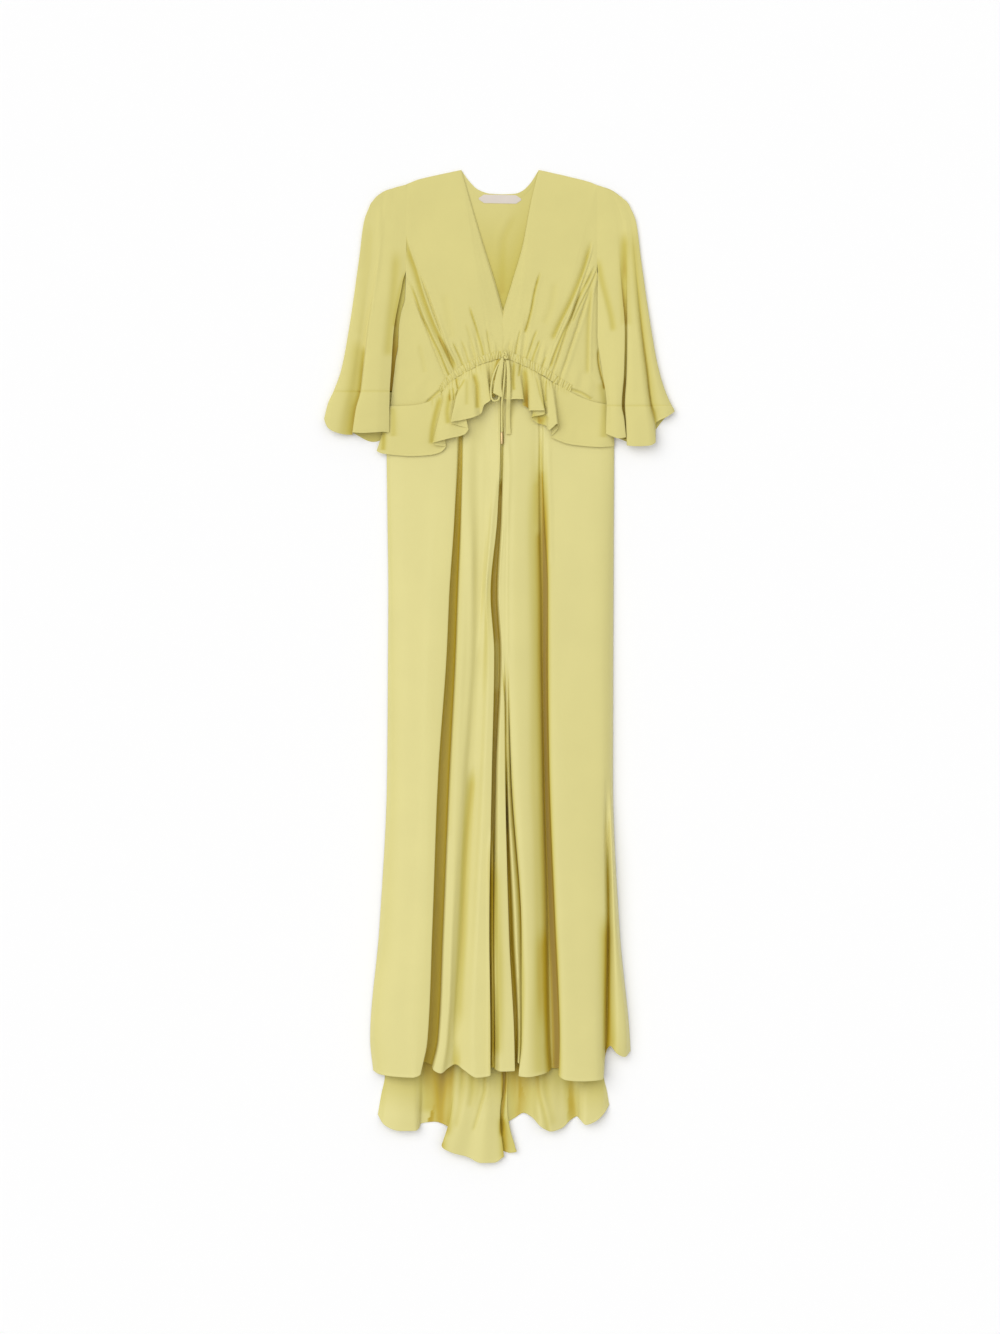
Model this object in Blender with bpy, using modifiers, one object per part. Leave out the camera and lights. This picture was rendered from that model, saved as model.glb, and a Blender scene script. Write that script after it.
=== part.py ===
"""A long V-neck dress laid flat on its back, front side up.

Bodice with flutter sleeves, drawstring casing under the bust, short gathered flounce and a long skirt whose
back hem trails below the front one. Lengths in the tables are millimetres: "across" is measured from the
centre front towards the wearer's left (the viewer's right), "down" from the two neck points, and heights
from the surface that the dress lies on. The model itself is in metres, +Z up, neck towards +Y.
"""

import math
from collections import namedtuple

import bmesh
import bpy
import numpy as np

# Driving sizes, millimetres
OVERALL_LENGTH = 1639.0
SPREAD_MIDDLE = -6.0
WALL = 1.2
RUFFLE_WALL = 1.0
SEAM_GAP = 0.4
JOIN_GAP = 1.2
SIDE_GAP = 0.8
LAYER_GAP = 0.4
BACK_TOP = WALL + LAYER_GAP
WAIST_DOWN = 391.0
SEAM_TOP_DOWN = 311.0
SKIRT_TOP_LEFT = -186.0
SKIRT_TOP_RIGHT = 181.5
SKIRT_LEVELS = [440, 570, 700, 800, 1000, 1255, 1435]
FOLD_OPENS = 180.0
TRAIN_LEVELS = [1000, 1370, 1496]
SLEEVE_LEVELS = [85, 145, 271, 331]
FLARE_AT = 0.4
FLARE = 0.55
LEFT_CUFF_DOWN = 366.0
RIGHT_CUFF_DOWN = 390.0
CASING_WIDTH = 11.0
CORD_RADIUS = 1.6
TIE_WIDTH = 5.5
AGLET_RADIUS = 2.3

MM = 0.001

Skirt = namedtuple("Skirt", ["name", "at_440", "at_570", "at_700", "at_800", "at_1000", "at_1255", "at_1435",
                             "hem_across", "hem_down", "rise", "rise_above", "opens_at"], defaults=(None, 0))
Train = namedtuple("Train", "name at_waist at_1000 at_1370 at_1496 half_way hem_across hem_down rise")
Gather = namedtuple("Gather", ["name", "top_across", "top_down", "seam_across", "seam_down", "top_height",
                               "seam_height", "crease", "reach"])
Ruffle = namedtuple("Ruffle", "name seam_across seam_down hem_across hem_down rise")
Sleeve = namedtuple("Sleeve", ["name", "top_across", "top_down", "at_85", "at_145", "at_271", "at_331",
                               "at_cuff", "hem_across", "hem_down", "rise"])

SKIRT_FRONT_LEFT = [
    Skirt("side", -192, -190.5, -189, -189.5, -191, -204, -219, -214, 1487, 0),
    Skirt("side_roll", -185, -183.5, -182, -182, -183, -195, -210, -205, 1492, 11),
    Skirt("outer_panel", -160, -160, -160, -160.5, -163, -173, -182, -177, 1496, 22),
    Skirt("outer_crest", -120, -123.5, -129, -131.5, -137, -147, -157, -155, 1497, 27),
    Skirt("inner_rise", -104, -109, -117, -121.5, -129, -137, -149, -150, 1497, 29),
    Skirt("inner_panel", -91, -96, -104, -109.5, -120, -127, -139, -144, 1496, 30),
    Skirt("first_lip", -76, -80.5, -89, -93.5, -107.5, -117, -125, -136, 1491, 29),
    Skirt("first_tuck", -74, -80.5, -92, -96.5, -112, -123, -132, -142, 1481, 15),
    Skirt("first_floor", -72, -77, -86, -90.5, -102.5, -112, -121, -133, 1473, 4),
    Skirt("first_slope", -67.5, -70.5, -76, -79.5, -89.5, -100, -108.5, -118.5, 1477, 8),
    Skirt("second_lip", -65, -67.5, -72, -75.5, -85.5, -96, -104, -114, 1485, 26),
    Skirt("second_crest", -57, -59, -63, -67, -77, -87, -94, -103, 1490, 28),
    Skirt("middle_slope", -43, -44, -47, -52, -64, -78, -87, -91, 1482, 20),
    Skirt("middle_trough", -31, -31.5, -36, -41, -51, -68, -79, -79, 1476, 15),
    Skirt("middle_rise", -22, -24, -31, -32, -40, -54, -64, -64, 1485, 22),
    Skirt("middle_crest", -13, -17, -27, -22.5, -29, -40, -46, -43, 1497, 29),
    Skirt("centre_lip", -5, -9.6, -21, -15, -19, -23, -21, -21, 1493, 28),
    Skirt("centre_tuck", -5.2, -11.2, -23.5, -17.5, -21.5, -26, -26, -25, 1484, 14),
    Skirt("centre_floor", -4.2, -8.2, -17, -11.5, -17, -20.5, -20.6, -21, 1481, 5),
    Skirt("centre_seam", -3, -6.6, -15, -9.5, -15.4, -18.6, -17.5, -19, 1481, 5),
]
SKIRT_FRONT_RIGHT = [
    Skirt("centre_seam", -2, -5.6, -14, -8.5, -14.4, -17.6, -16.5, -18, 1481, 5),
    Skirt("centre_floor", -0.6, -4.3, -12, -6.6, -12.8, -16, -14.8, -16, 1481, 5),
    Skirt("centre_slope", 0.6, -2.6, -9, -3.6, -11.4, -13.8, -12.4, -12.3, 1484, 16),
    Skirt("strip_crest", 2.2, -0.4, -6, -1, -6.5, -7, -4, -3, 1487, 27, 28, 790),
    Skirt("strip_lip", 3.8, 1.6, -1.5, 1.2, 3, 9, 18, 19, 1486, 26, 28.5, 790),
    Skirt("slit_tuck", 5.2, 3.5, 2, 2, 3, 9.5, 16, 18, 1478, 14, 29, 790),
    Skirt("slit_floor", 6.6, 5, 3.6, 4, 5.5, 13.5, 22, 22, 1471, 5, 29, 790),
    Skirt("wedge", 8.4, 7, 5.5, 6, 9, 21.5, 27.5, 26, 1474, 23, 29.5, 790),
    Skirt("mid_tuck", 10.4, 9, 7.5, 8.5, 13.5, 31, 33, 30, 1483, 14, 30, 790),
    Skirt("mid_lip", 13, 11.5, 10, 10.5, 15, 31, 31, 26, 1494, 28, 30, 790),
    Skirt("mid_crest", 21, 19.5, 18, 19.5, 26, 38, 41, 40, 1496, 31),
    Skirt("mid_panel", 40, 40, 41, 42, 46, 54, 57, 60, 1493, 27),
    Skirt("mid_slope", 57, 57.5, 59.5, 60.5, 63.5, 70, 72, 75, 1488, 16),
    Skirt("third_floor", 61, 62, 64.5, 65, 68, 75, 78, 81, 1483, 5),
    Skirt("third_tuck", 64, 67.5, 74.5, 73.5, 77, 87, 95, 97, 1483, 9),
    Skirt("third_lip", 68, 70, 74.5, 74.5, 77, 87, 94, 92, 1493, 29),
    Skirt("third_crest", 78, 80, 83, 84.5, 87, 97, 104, 104, 1501, 32),
    Skirt("outer_crest", 104, 105, 107, 108, 111, 120, 127, 132, 1503, 30),
    Skirt("outer_panel", 134, 134.5, 135, 136, 139, 147, 152, 153, 1502, 27),
    Skirt("fourth_lip", 160, 160.5, 161, 161.5, 163, 168, 164, 164, 1500, 20, 23, 980),
    Skirt("fourth_floor", 169, 169, 169, 169, 170, 174, 171, 169, 1459, 6, 19, 980),
    Skirt("flap_slope", 174.5, 174, 174, 174, 174, 178, 178.5, 177, 1446, 11, 15, 980),
    Skirt("flap_crest", 178, 177.5, 177, 177, 177, 184, 191, 189, 1459, 18, 11, 980),
    Skirt("flap_roll", 181, 180.5, 180, 179.5, 179, 188, 202, 200, 1464, 14, 6, 980),
    Skirt("side", 183, 182.5, 182, 181.5, 181, 192, 209, 210, 1455, 0),
]
SKIRT_BACK_LEFT = [
    Train("side", -186, -188, -203, -195, -201, -206.5, 1560, 0),
    Train("outer_roll", -177, -178, -190, -185, -191, -196, 1576, 11),
    Train("outer_crest", -157, -160, -167, -165, -168, -170, 1586, 15),
    Train("outer_slope", -137, -140, -145, -147, -147, -145, 1586, 13),
    Train("outer_lip", -130, -134, -139, -139, -139, -139, 1582, 8),
    Train("recess_edge", -121, -126, -130, -131, -133, -136, 1575, 1),
    Train("recess", -104, -107, -111, -111, -111, -113, 1572, 0),
    Train("recess_slope", -84, -87, -91, -92, -93, -95, 1577, 4),
    Train("tail_edge", -69, -73, -76, -78, -84, -88, 1583, 9),
    Train("tail_flare", -56, -59, -63, -66, -80, -101, 1611, 12),
    Train("tail_outer", -43, -46, -48, -52, -66, -84, 1622, 14),
    Train("tail_ridge", -30, -33, -33, -36, -46, -59, 1629, 11),
    Train("tail_crest", -18, -20, -21, -23, -30, -36, 1639, 13),
    Train("tail_roll", -8, -9, -9, -10, -15, -15, 1639, 9),
    Train("centre_seam", -0.5, -0.5, -0.5, 0, -6, 1, 1629, 6),
]
SKIRT_BACK_RIGHT = [
    Train("centre_seam", 0.5, 0.5, 0.5, 1, -6.5, 1, 1620, 0),
    Train("tip_roll", 3, 3, 3, 3, -1, 11, 1623, 3),
    Train("tip_fold", 6, 6, 6, 5.5, 5, 22, 1621, 7),
    Train("tip_return", 12, 12, 11, 9, 6.5, 4.5, 1576, 5),
    Train("recess", 24, 24, 22, 20, 20, 20, 1565, 0),
    Train("recess_edge", 38, 38, 36, 34, 34, 34, 1557, 2),
    Train("ridge_slope", 51, 51, 51, 47, 47, 48, 1564, 7),
    Train("ridge", 66, 66, 66, 61, 63, 64, 1580, 17),
    Train("ridge_roll", 79, 79, 79, 76, 78, 79, 1587, 14),
    Train("low_panel", 94, 94, 94, 92, 94, 97, 1582, 8),
    Train("low_slope", 111, 109, 109, 106, 108, 111, 1569, 3),
    Train("second_valley", 124, 122, 120, 119, 120, 122, 1563, 0),
    Train("outer_lip", 135, 134, 130, 129, 128, 128, 1568, 10),
    Train("outer_crest", 147, 145, 142, 140, 138, 137, 1576, 16),
    Train("outer_panel", 162, 158, 153, 152, 152, 153, 1570, 14),
    Train("outer_roll", 173, 170, 165, 161, 165, 167, 1557, 9),
    Train("side", 182, 180, 175, 166, 171, 175, 1544, 0),
]
BODICE_LEFT = [
    Gather("side", -177, 313, -186, 390, 1.6, 1.6, 0, 1),
    Gather("side_low", -173, 292, -173, 391, 1.6, 2.6, 1, 60),
    Gather("side_high", -172, 261, -157, 391, 1.6, 3.0, 0, 1),
    Gather("tuck_rise", -168, 235, -139, 388, 1.6, 3.5, 2.5, 40),
    Gather("under_tuck", -162, 214, -120, 382, 1.6, 4.2, -1.5, 40),
    Gather("tuck_ridge", -161, 196, -102, 370, 1.6, 5, 2, 60),
    Gather("second_slope", -160.5, 186, -93, 358.5, 1.8, 5.6, 1.5, 190),
    Gather("second_crease", -160.5, 178, -89, 354, 1.8, 6, -4.5, 195),
    Gather("ridge_low", -160.5, 170, -86, 351.5, 1.8, 6, 2.5, 190),
    Gather("bright_ridge", -160.5, 145, -82, 348, 2, 6.2, 3.2, 215),
    Gather("ridge_high", -160.5, 119, -79, 344.5, 2.2, 6.3, 2, 225),
    Gather("first_crease", -160.5, 108, -76, 342, 2.2, 6.4, -5, 240),
    Gather("first_shoulder", -160.5, 97, -72.5, 340, 2.2, 6.5, 2.5, 190),
    Gather("shoulder_flat", -160.5, 72, -69, 338.2, 2.2, 6.5, 0, 1),
    Gather("gather_1", -160.5, 47, -64, 335, 2, 6.5, -3, 55),
    Gather("armhole_top", -160.5, 24, -59, 332, 1.8, 6.5, 2, 50),
    Gather("gather_2", -152, 20.5, -54, 330, 1.8, 6.5, -2.5, 50),
    Gather("ridge_2", -140, 15.8, -49, 327, 1.8, 6.5, 2, 50),
    Gather("gather_3", -129, 13, -44, 325, 1.8, 6.5, -3.5, 55),
    Gather("ridge_3", -116, 10, -39, 322, 1.8, 6.5, 2, 50),
    Gather("gather_4", -104, 7.5, -34, 320, 1.8, 6.5, -4.5, 70),
    Gather("ridge_4", -92, 5, -30, 319, 1.8, 6.5, 2.5, 55),
    Gather("gather_5", -81, 2.4, -26, 317, 1.8, 6.5, -2, 40),
    Gather("neck_point", -69, 0, -21, 316, 1.8, 6.5, 2, 40),
    Gather("neck_gather", -48, 73, -16, 314, 3, 6.5, -3, 45),
    Gather("neck_middle", -30, 133, -12, 313, 4, 6.5, 1.5, 35),
    Gather("neck_low", -13, 187, -7, 312, 5, 6.5, -2, 30),
    Gather("centre", -0.6, 234, -0.6, 311, 5.5, 6.5, 0.5, 30),
]
BODICE_RIGHT = [
    Gather("centre", 0.6, 234, 0.6, 311, 5.5, 6.5, 0.5, 30),
    Gather("neck_low", 16, 183, 7, 312, 5, 6.5, -2, 30),
    Gather("neck_middle", 33, 124, 13, 314, 4, 6.5, 1.5, 40),
    Gather("neck_gather", 46, 55, 20, 317, 3, 6.5, -3, 40),
    Gather("neck_point", 59, 0, 26, 319, 1.8, 6.5, 2, 40),
    Gather("gather_5", 71, 2.4, 31, 322, 1.8, 6.5, -4.5, 95),
    Gather("ridge_4", 84, 5.5, 37, 324, 1.8, 6.5, 2.5, 60),
    Gather("gather_4", 97, 8.3, 43, 327, 1.8, 6.5, -2, 45),
    Gather("ridge_3", 111, 11.7, 48, 330, 1.8, 6.5, 2, 50),
    Gather("gather_3", 124, 14.8, 53, 332, 1.8, 6.5, -3, 60),
    Gather("ridge_2", 137, 18.2, 58, 335, 1.8, 6.5, 2, 50),
    Gather("gather_2", 147, 21.5, 63, 338, 1.8, 6.5, -2.5, 55),
    Gather("armhole_top", 155, 25, 68, 340, 1.8, 6.5, 2, 60),
    Gather("shoulder_flat", 155, 75, 71.5, 342.7, 2, 6.5, 0, 1),
    Gather("first_shoulder", 155, 106, 75, 345, 2.2, 6.5, 2.5, 200),
    Gather("first_crease", 155, 118, 78, 347, 2.2, 6.4, -5, 235),
    Gather("ridge_high", 155, 130, 81, 349, 2.1, 6.3, 3, 225),
    Gather("bright_ridge", 155, 142, 84, 351, 2, 6.2, 3.2, 215),
    Gather("ridge_low", 155, 153, 87.5, 353, 1.9, 6.1, 2, 205),
    Gather("second_crease", 155, 163, 91, 355, 1.8, 6, -4.5, 205),
    Gather("second_slope", 156.5, 175, 95, 358, 1.7, 5.8, 1.5, 190),
    Gather("side_slope", 158, 187, 101, 362, 1.6, 5.4, 0, 1),
    Gather("tuck_ridge", 161, 214, 111, 367, 1.6, 5, 2, 60),
    Gather("under_tuck", 164, 232, 124, 374, 1.6, 4.2, -1.5, 40),
    Gather("tuck_rise", 167, 248, 137, 379, 1.6, 3.5, 2.5, 40),
    Gather("side_high", 171, 273, 150, 383, 1.6, 3, 0, 1),
    Gather("side_low", 173, 298, 167, 387, 1.6, 2.6, 1, 60),
    Gather("side", 178, 347, 182, 390, 1.6, 1.6, 0, 1),
]
FLOUNCE_LEFT = [
    Ruffle("return", -178, 392, -190, 462, 0),
    Ruffle("return_edge", -184, 391.5, -208, 464, 3),
    Ruffle("side_fold", -186, 391, -201, 468, 7),
    Ruffle("side_panel", -175, 391, -188, 470, 5),
    Ruffle("flat_outer", -150, 390, -152, 473, 2),
    Ruffle("flat_middle", -125, 385, -119, 471, 2),
    Ruffle("flat_inner", -111, 377, -102, 466, 2),
    Ruffle("first_corner", -103, 372, -94, 457, 4.5),
    Ruffle("first_return", -98, 365, -106, 456, 8),
    Ruffle("first_edge", -92, 358, -116, 453, 12),
    Ruffle("first_top", -86, 351, -92, 445, 14.5),
    Ruffle("first_roll", -80, 346, -63, 437, 12),
    Ruffle("second_corner", -76, 343, -57, 429, 15),
    Ruffle("second_return", -72, 340, -73, 423, 18),
    Ruffle("second_edge", -68, 338, -86, 418, 21),
    Ruffle("second_top", -62, 334, -68, 414, 23),
    Ruffle("second_roll", -55, 331, -48, 409, 20),
    Ruffle("third_dip", -48, 327, -36, 402, 13),
    Ruffle("third_rise", -40, 323, -31, 389, 18),
    Ruffle("third_edge", -31, 320, -21, 381, 18),
    Ruffle("third_tuck", -26, 318, -21, 377, 10),
    Ruffle("recess", -21, 317, -23, 374, 4),
    Ruffle("recess_edge", -16, 315, -13, 375, 4),
    Ruffle("centre_edge", -11, 314, -16, 370, 12),
    Ruffle("centre_top", -6, 312.5, -8, 374, 13),
    Ruffle("centre", -0.6, 311, -0.6, 378, 11),
]
FLOUNCE_RIGHT = [
    Ruffle("centre", 0.6, 311, 0.6, 378, 11),
    Ruffle("first_rise", 7, 313, 9, 380, 14),
    Ruffle("first_top", 15, 316, 21, 379, 16),
    Ruffle("first_edge", 23, 319, 34, 380, 14),
    Ruffle("first_tuck", 28, 321, 34, 384, 8),
    Ruffle("recess", 33, 323, 32, 387, 4),
    Ruffle("recess_edge", 38, 325, 42, 394, 4),
    Ruffle("second_rise", 43, 328, 43, 398, 12),
    Ruffle("second_top", 49, 331, 56, 398, 18),
    Ruffle("second_edge", 56, 335, 68, 398, 18),
    Ruffle("second_tuck", 60, 337, 69, 403, 13),
    Ruffle("under_return", 64, 340, 47, 410, 10),
    Ruffle("under_fold", 67, 342, 56, 418, 6),
    Ruffle("under_panel", 71, 345, 71, 423, 8),
    Ruffle("third_edge", 75, 347, 76, 430, 16),
    Ruffle("third_top", 79, 350, 89, 420, 18),
    Ruffle("third_tuck", 83, 352, 91, 426, 11),
    Ruffle("third_return", 88, 355, 80, 441, 4),
    Ruffle("flat_inner", 95, 359, 91, 447, 2),
    Ruffle("flat_middle", 111, 368, 108, 453, 2),
    Ruffle("flat_low", 134, 379, 130, 456, 2),
    Ruffle("flat_outer", 157, 386, 160, 458, 2),
    Ruffle("side_roll", 171, 388.5, 175, 457, 1.5),
    Ruffle("side_crest", 176, 390, 179.5, 456.5, 1.5),
    Ruffle("side", 181, 391, 183.5, 456, 1),
]
SLEEVE_LEFT = [
    Sleeve("back_inner", -162, 24, -162, -162, -173, -179.3, -183, -189, 440, 0),
    Sleeve("back_mid", -180, 30, -181.4, -183, -200, -205.1, -208, -214, 449, 0),
    Sleeve("back_fold", -196, 35, -201.5, -208, -226, -234.2, -239, -256, 431, 0),
    Sleeve("back_outer", -213, 49, -221.5, -229, -248, -259, -270, -286, 425, 0),
    Sleeve("outer_edge", -219, 56, -229.5, -237.5, -255.8, -267.5, -280, -295.5, 411, 3),
    Sleeve("outer_roll", -215, 51, -224, -232, -251, -262, -272, -290, 425, 9),
    Sleeve("outer_panel", -209, 44, -216, -224, -241, -249.5, -257, -275, 434, 11),
    Sleeve("valley_side", -201, 38, -206.7, -214, -231, -238.6, -243, -257, 437.5, 6),
    Sleeve("valley", -196, 35, -201.9, -209, -226, -232.3, -236, -249, 437.5, 2),
    Sleeve("fold_edge", -191, 33, -197, -204, -222, -229.6, -234, -248.5, 434, 15),
    Sleeve("fold_crest", -184, 31, -188.3, -193, -213, -219.9, -224, -233, 435, 18),
    Sleeve("fold_panel", -175, 28, -178.4, -182, -201, -205.4, -208, -211, 434, 17),
    Sleeve("fold_roll", -167, 26, -169.5, -172, -189, -192.8, -195, -196, 433, 13),
    Sleeve("inner_edge", -162, 24, -162, -162, -181, -184.8, -187, -188, 434, 9.5),
]
SLEEVE_RIGHT = [
    Sleeve("back_inner", 156.5, 25, 156.5, 156.5, 171, 176.5, 182, 184, 441, 0),
    Sleeve("back_mid", 177, 32, 181.2, 186, 203, 209.6, 216, 223, 453, 0),
    Sleeve("back_outer", 198, 47, 211, 219, 237, 247.5, 266, 273, 405, 0),
    Sleeve("outer_edge", 208, 57, 219.5, 227.5, 246, 257.5, 279, 283.5, 399, 3),
    Sleeve("outer_panel", 203, 51, 216.5, 223.5, 239.5, 249, 264, 270.5, 408, 10),
    Sleeve("third_slope", 198, 47, 214, 220, 233, 240.6, 248, 258, 414, 7),
    Sleeve("second_valley", 195, 44, 211.5, 218, 230, 237.6, 245, 252, 419, 3),
    Sleeve("second_roll", 191, 42, 209, 215, 227, 234.6, 242, 252, 449, 12),
    Sleeve("second_panel", 187, 39, 206, 211, 221, 227.1, 233, 241, 456, 18),
    Sleeve("second_crest", 182, 36, 203, 208, 212, 215, 217, 220, 457, 18),
    Sleeve("second_lip", 179, 34, 200, 205, 205.5, 204.5, 201, 204, 455, 13),
    Sleeve("first_valley", 177, 33, 197, 201, 203.5, 203, 201, 205, 446, 2),
    Sleeve("first_tuck", 174, 32, 190.5, 194, 199.5, 199, 195, 197, 443, 7),
    Sleeve("first_lip", 172, 31, 186.5, 190.5, 201, 200, 196, 203, 442, 15),
    Sleeve("first_crest", 167, 29, 177, 183, 185, 185.5, 186, 190, 444, 18),
    Sleeve("first_panel", 162, 27, 165.4, 169, 168, 173, 178, 181, 441, 16),
    Sleeve("inner_edge", 156.5, 25, 156.5, 156.5, 156, 163.6, 171, 170, 436, 10),
]

# Outline shared by front and back: side edges below the armholes and the line of the shoulders and back neck
LEFT_SIDE = [(-160.5, 24), (-160.5, 178), (-162, 214), (-168, 235), (-172, 261), (-173, 292), (-177, 313),
             (-180, 356), (-186, 391)]
RIGHT_SIDE = [(155, 25), (155, 163), (158, 189), (165, 232), (171, 273), (173, 298), (178, 347), (182, 391)]
BACK_TOP_EDGE = [(-160.5, 24), (-116, 10), (-69, 0), (-58, 16), (-40, 33), (-21, 39), (0, 40), (20, 39),
                 (31, 35), (45, 22), (59, 0), (111, 11.7), (155, 25)]

# Heights of the folds along a piece, as a share of each fold's full rise
SKIRT_SWELL = [(310, 0.0), (440, 0.28), (700, 0.72), (1000, 0.9), (1255, 1.0), (1435, 1.0), (1520, 1.0)]
TRAIN_SWELL = [(391, 0.0), (1430, 0.0), (1496, 0.28), (1540, 0.75), (1570, 1.0), (1640, 1.0)]
SLEEVE_SWELL = [(0, 0.02), (60, 0.03), (145, 0.14), (271, 0.6), (366, 0.88), (457, 1.0)]
SLEEVE_LIFT = 0.8
RUFFLE_GAP = 1.4
RUFFLE_LIFT = 0.82
RUFFLE_CLEAR_DOWN = 330.0
BODICE_PUFF = 3.0
PUFF_LENGTH = 300.0
SEAM_CREASE = 0.45
CREASE_OPENS = 35.0
CASING_LIFT = 2.4
CASING_BULGE = 0.7

# Where each kind of piece is sampled along its length, as shares of it
SKIRT_SHARES = np.array([0, 0.05, 0.11, 0.18, 0.27, 0.37, 0.47, 0.57, 0.67, 0.76, 0.85, 0.93, 1.0])
TRAIN_SHARES = np.array([0, 0.33, 0.65, 0.86, 0.905, 0.935, 0.965, 0.985, 1.0])
BODICE_SHARES = np.array([0, 0.12, 0.27, 0.43, 0.59, 0.73, 0.84, 0.93, 1.0])
BACK_SHARES = np.array([0, 0.1, 0.25, 0.42, 0.518, 0.5755, 0.6465, 0.731, 0.788, 0.9056, 1.0])
BACK_LINES = [-160.5, -138, -116, -92, -69, -58, -40, -21, 0, 20, 31, 45, 59, 84, 111, 133, 155]
RUFFLE_SHARES = np.array([0, 0.12, 0.32, 0.56, 0.8, 1.0])
SLEEVE_SHARES = np.array([0, 0.14, 0.29, 0.451, 0.556, 0.618, 0.694, 0.785, 0.846, 1.0])
CUFF_SHARES = np.array([0, 0.33, 0.67, 1.0])

# Routes across, down and height of the drawstring's parts
LOOP_ROUTE = [(-3.5, 315.6, 13), (-9, 324, 16), (-14.5, 337, 19.5), (-18.5, 352, 21.5), (-20, 366, 22.5),
              (-19.5, 376, 23), (-14.5, 382.5, 23), (-8, 380.5, 22.5), (-4.8, 370, 22), (-3.2, 352, 20.5),
              (-1.5, 334, 17.5), (-0.2, 317.6, 13.4)]
LEFT_END_ROUTE = [(3.4, 317.4, 13.4), (3, 334, 17.8), (1.6, 352, 21.6), (0, 370, 23), (-1.6, 383, 21.5),
                  (-2.2, 396, 17.6), (-2.2, 410, 14.8), (-2, 433, 14.2)]
RIGHT_TIE_ROUTE = [(7.4, 315.2, 13.4), (9, 334, 19.5), (9.4, 354, 22), (9.2, 375, 24), (8.8, 386, 19.5),
                   (8.4, 398, 13.5), (8.2, 412, 11.6), (8.6, 426, 11.8), (9.2, 437, 11.9)]
KNOT_CENTRE = (3.2, 307.5, 13.9)
KNOT_HALF = (6.2, 7.6, 3.2)
KNOT_PINCH = 0.22
KNOT_PINCH_WIDTH = 0.3
TIE_SPACING = 9.0
TIE_ROOT_SHARE = 0.8
TIE_TIP_SHARE = 1.3
AGLET_LENGTH = 20.0
AGLET_LEAN = 0.2

# The bare label inside the back neck
LABEL_LEFT = -40.0
LABEL_RIGHT = 30.0
LABEL_TOP = 41.0
LABEL_BOTTOM = 55.0
LABEL_POINT = 10.0
LABEL_END_SHARE = 0.15
LABEL_TILT = 0.02

COLOURS = {
    "crepe": ((0.70, 0.63, 0.25, 1.0), 0.85, 0.0),
    "satin": ((0.72, 0.66, 0.28, 1.0), 0.5, 0.0),
    "label_white": ((0.8, 0.76, 0.7, 1.0), 0.7, 0.0),
    "gold": ((0.72, 0.52, 0.2, 1.0), 0.3, 1.0),
}


def clear_scene():
    for old in list(bpy.data.objects):
        bpy.data.objects.remove(old, do_unlink=True)


def make_material(name):
    """One Principled material from its row of COLOURS."""
    colour, roughness, metallic = COLOURS[name]
    material = bpy.data.materials.new(name)
    material.use_nodes = True
    shader = material.node_tree.nodes["Principled BSDF"]
    shader.inputs["Base Color"].default_value = colour
    shader.inputs["Roughness"].default_value = roughness
    shader.inputs["Metallic"].default_value = metallic
    return material


def smooth_curve(spots, values, wanted):
    """Values read from a smooth curve through (spots, values) that never overshoots between two of them."""
    spots = np.asarray(spots, float)
    values = np.asarray(values, float)
    step = np.diff(spots)
    slope = np.diff(values) / step
    tangent = np.empty(len(values))
    tangent[0] = slope[0]
    tangent[-1] = slope[-1]
    before, after = slope[:-1], slope[1:]
    same_way = before * after > 0
    weight_before = 2 * step[1:] + step[:-1]
    weight_after = step[1:] + 2 * step[:-1]
    safe_before = np.where(same_way, before, 1.0)
    safe_after = np.where(same_way, after, 1.0)
    mean = (weight_before + weight_after) / (weight_before / safe_before + weight_after / safe_after)
    tangent[1:-1] = np.where(same_way, mean, 0.0)
    wanted = np.clip(np.asarray(wanted, float), spots[0], spots[-1])
    at = np.clip(np.searchsorted(spots, wanted, side="right") - 1, 0, len(step) - 1)
    t = (wanted - spots[at]) / step[at]
    start = (1 + 2 * t) * (1 - t) ** 2 * values[at] + t * (1 - t) ** 2 * step[at] * tangent[at]
    end = t * t * (3 - 2 * t) * values[at + 1] + t * t * (t - 1) * step[at] * tangent[at + 1]
    return start + end


def read_profile(profile, down):
    spots, values = zip(*profile)
    return smooth_curve(spots, values, down)


def fill_between(lines, steps):
    """A grid of points from lines of cloth (line, sample, xyz), with extra lines rounded in between."""
    count, samples, _ = lines.shape
    grid = np.empty(((count - 1) * steps + 1, samples, 3))
    for sample in range(samples):
        points = lines[:, sample]
        apart = np.linalg.norm(np.diff(points, axis=0), axis=1)
        along = np.concatenate([[0.0], np.cumsum(np.maximum(apart, 0.01))])
        share = np.arange(len(grid)) / steps
        wanted = np.interp(share, np.arange(count), along)
        for axis in range(3):
            grid[:, sample, axis] = smooth_curve(along, points[:, axis], wanted)
    return grid


def to_world(point):
    across, down, height = point
    return ((across - SPREAD_MIDDLE) * MM, (OVERALL_LENGTH / 2 - down) * MM, height * MM)


def cloth(name, grid, material, wall=WALL, from_outside=False):
    """A sheet of cloth: a grid laid on the points, with its wall above them or, on a tube, inside them."""
    columns, rows, _ = grid.shape
    sheet = bmesh.new()
    bmesh.ops.create_grid(sheet, x_segments=columns - 1, y_segments=rows - 1, size=1.0)
    for vertex in sheet.verts:
        column = round((vertex.co.x + 1) / 2 * (columns - 1))
        row = round((1 - vertex.co.y) / 2 * (rows - 1))
        vertex.co = to_world(grid[column, row])
    mesh = bpy.data.meshes.new(name)
    sheet.to_mesh(mesh)
    sheet.free()
    mesh.shade_smooth()
    mesh.materials.append(material)
    made = bpy.data.objects.new(name, mesh)
    dress.objects.link(made)
    solid = made.modifiers.new("Wall", "SOLIDIFY")
    solid.thickness = wall * MM
    solid.offset = -1.0 if from_outside else 1.0
    return made


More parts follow.
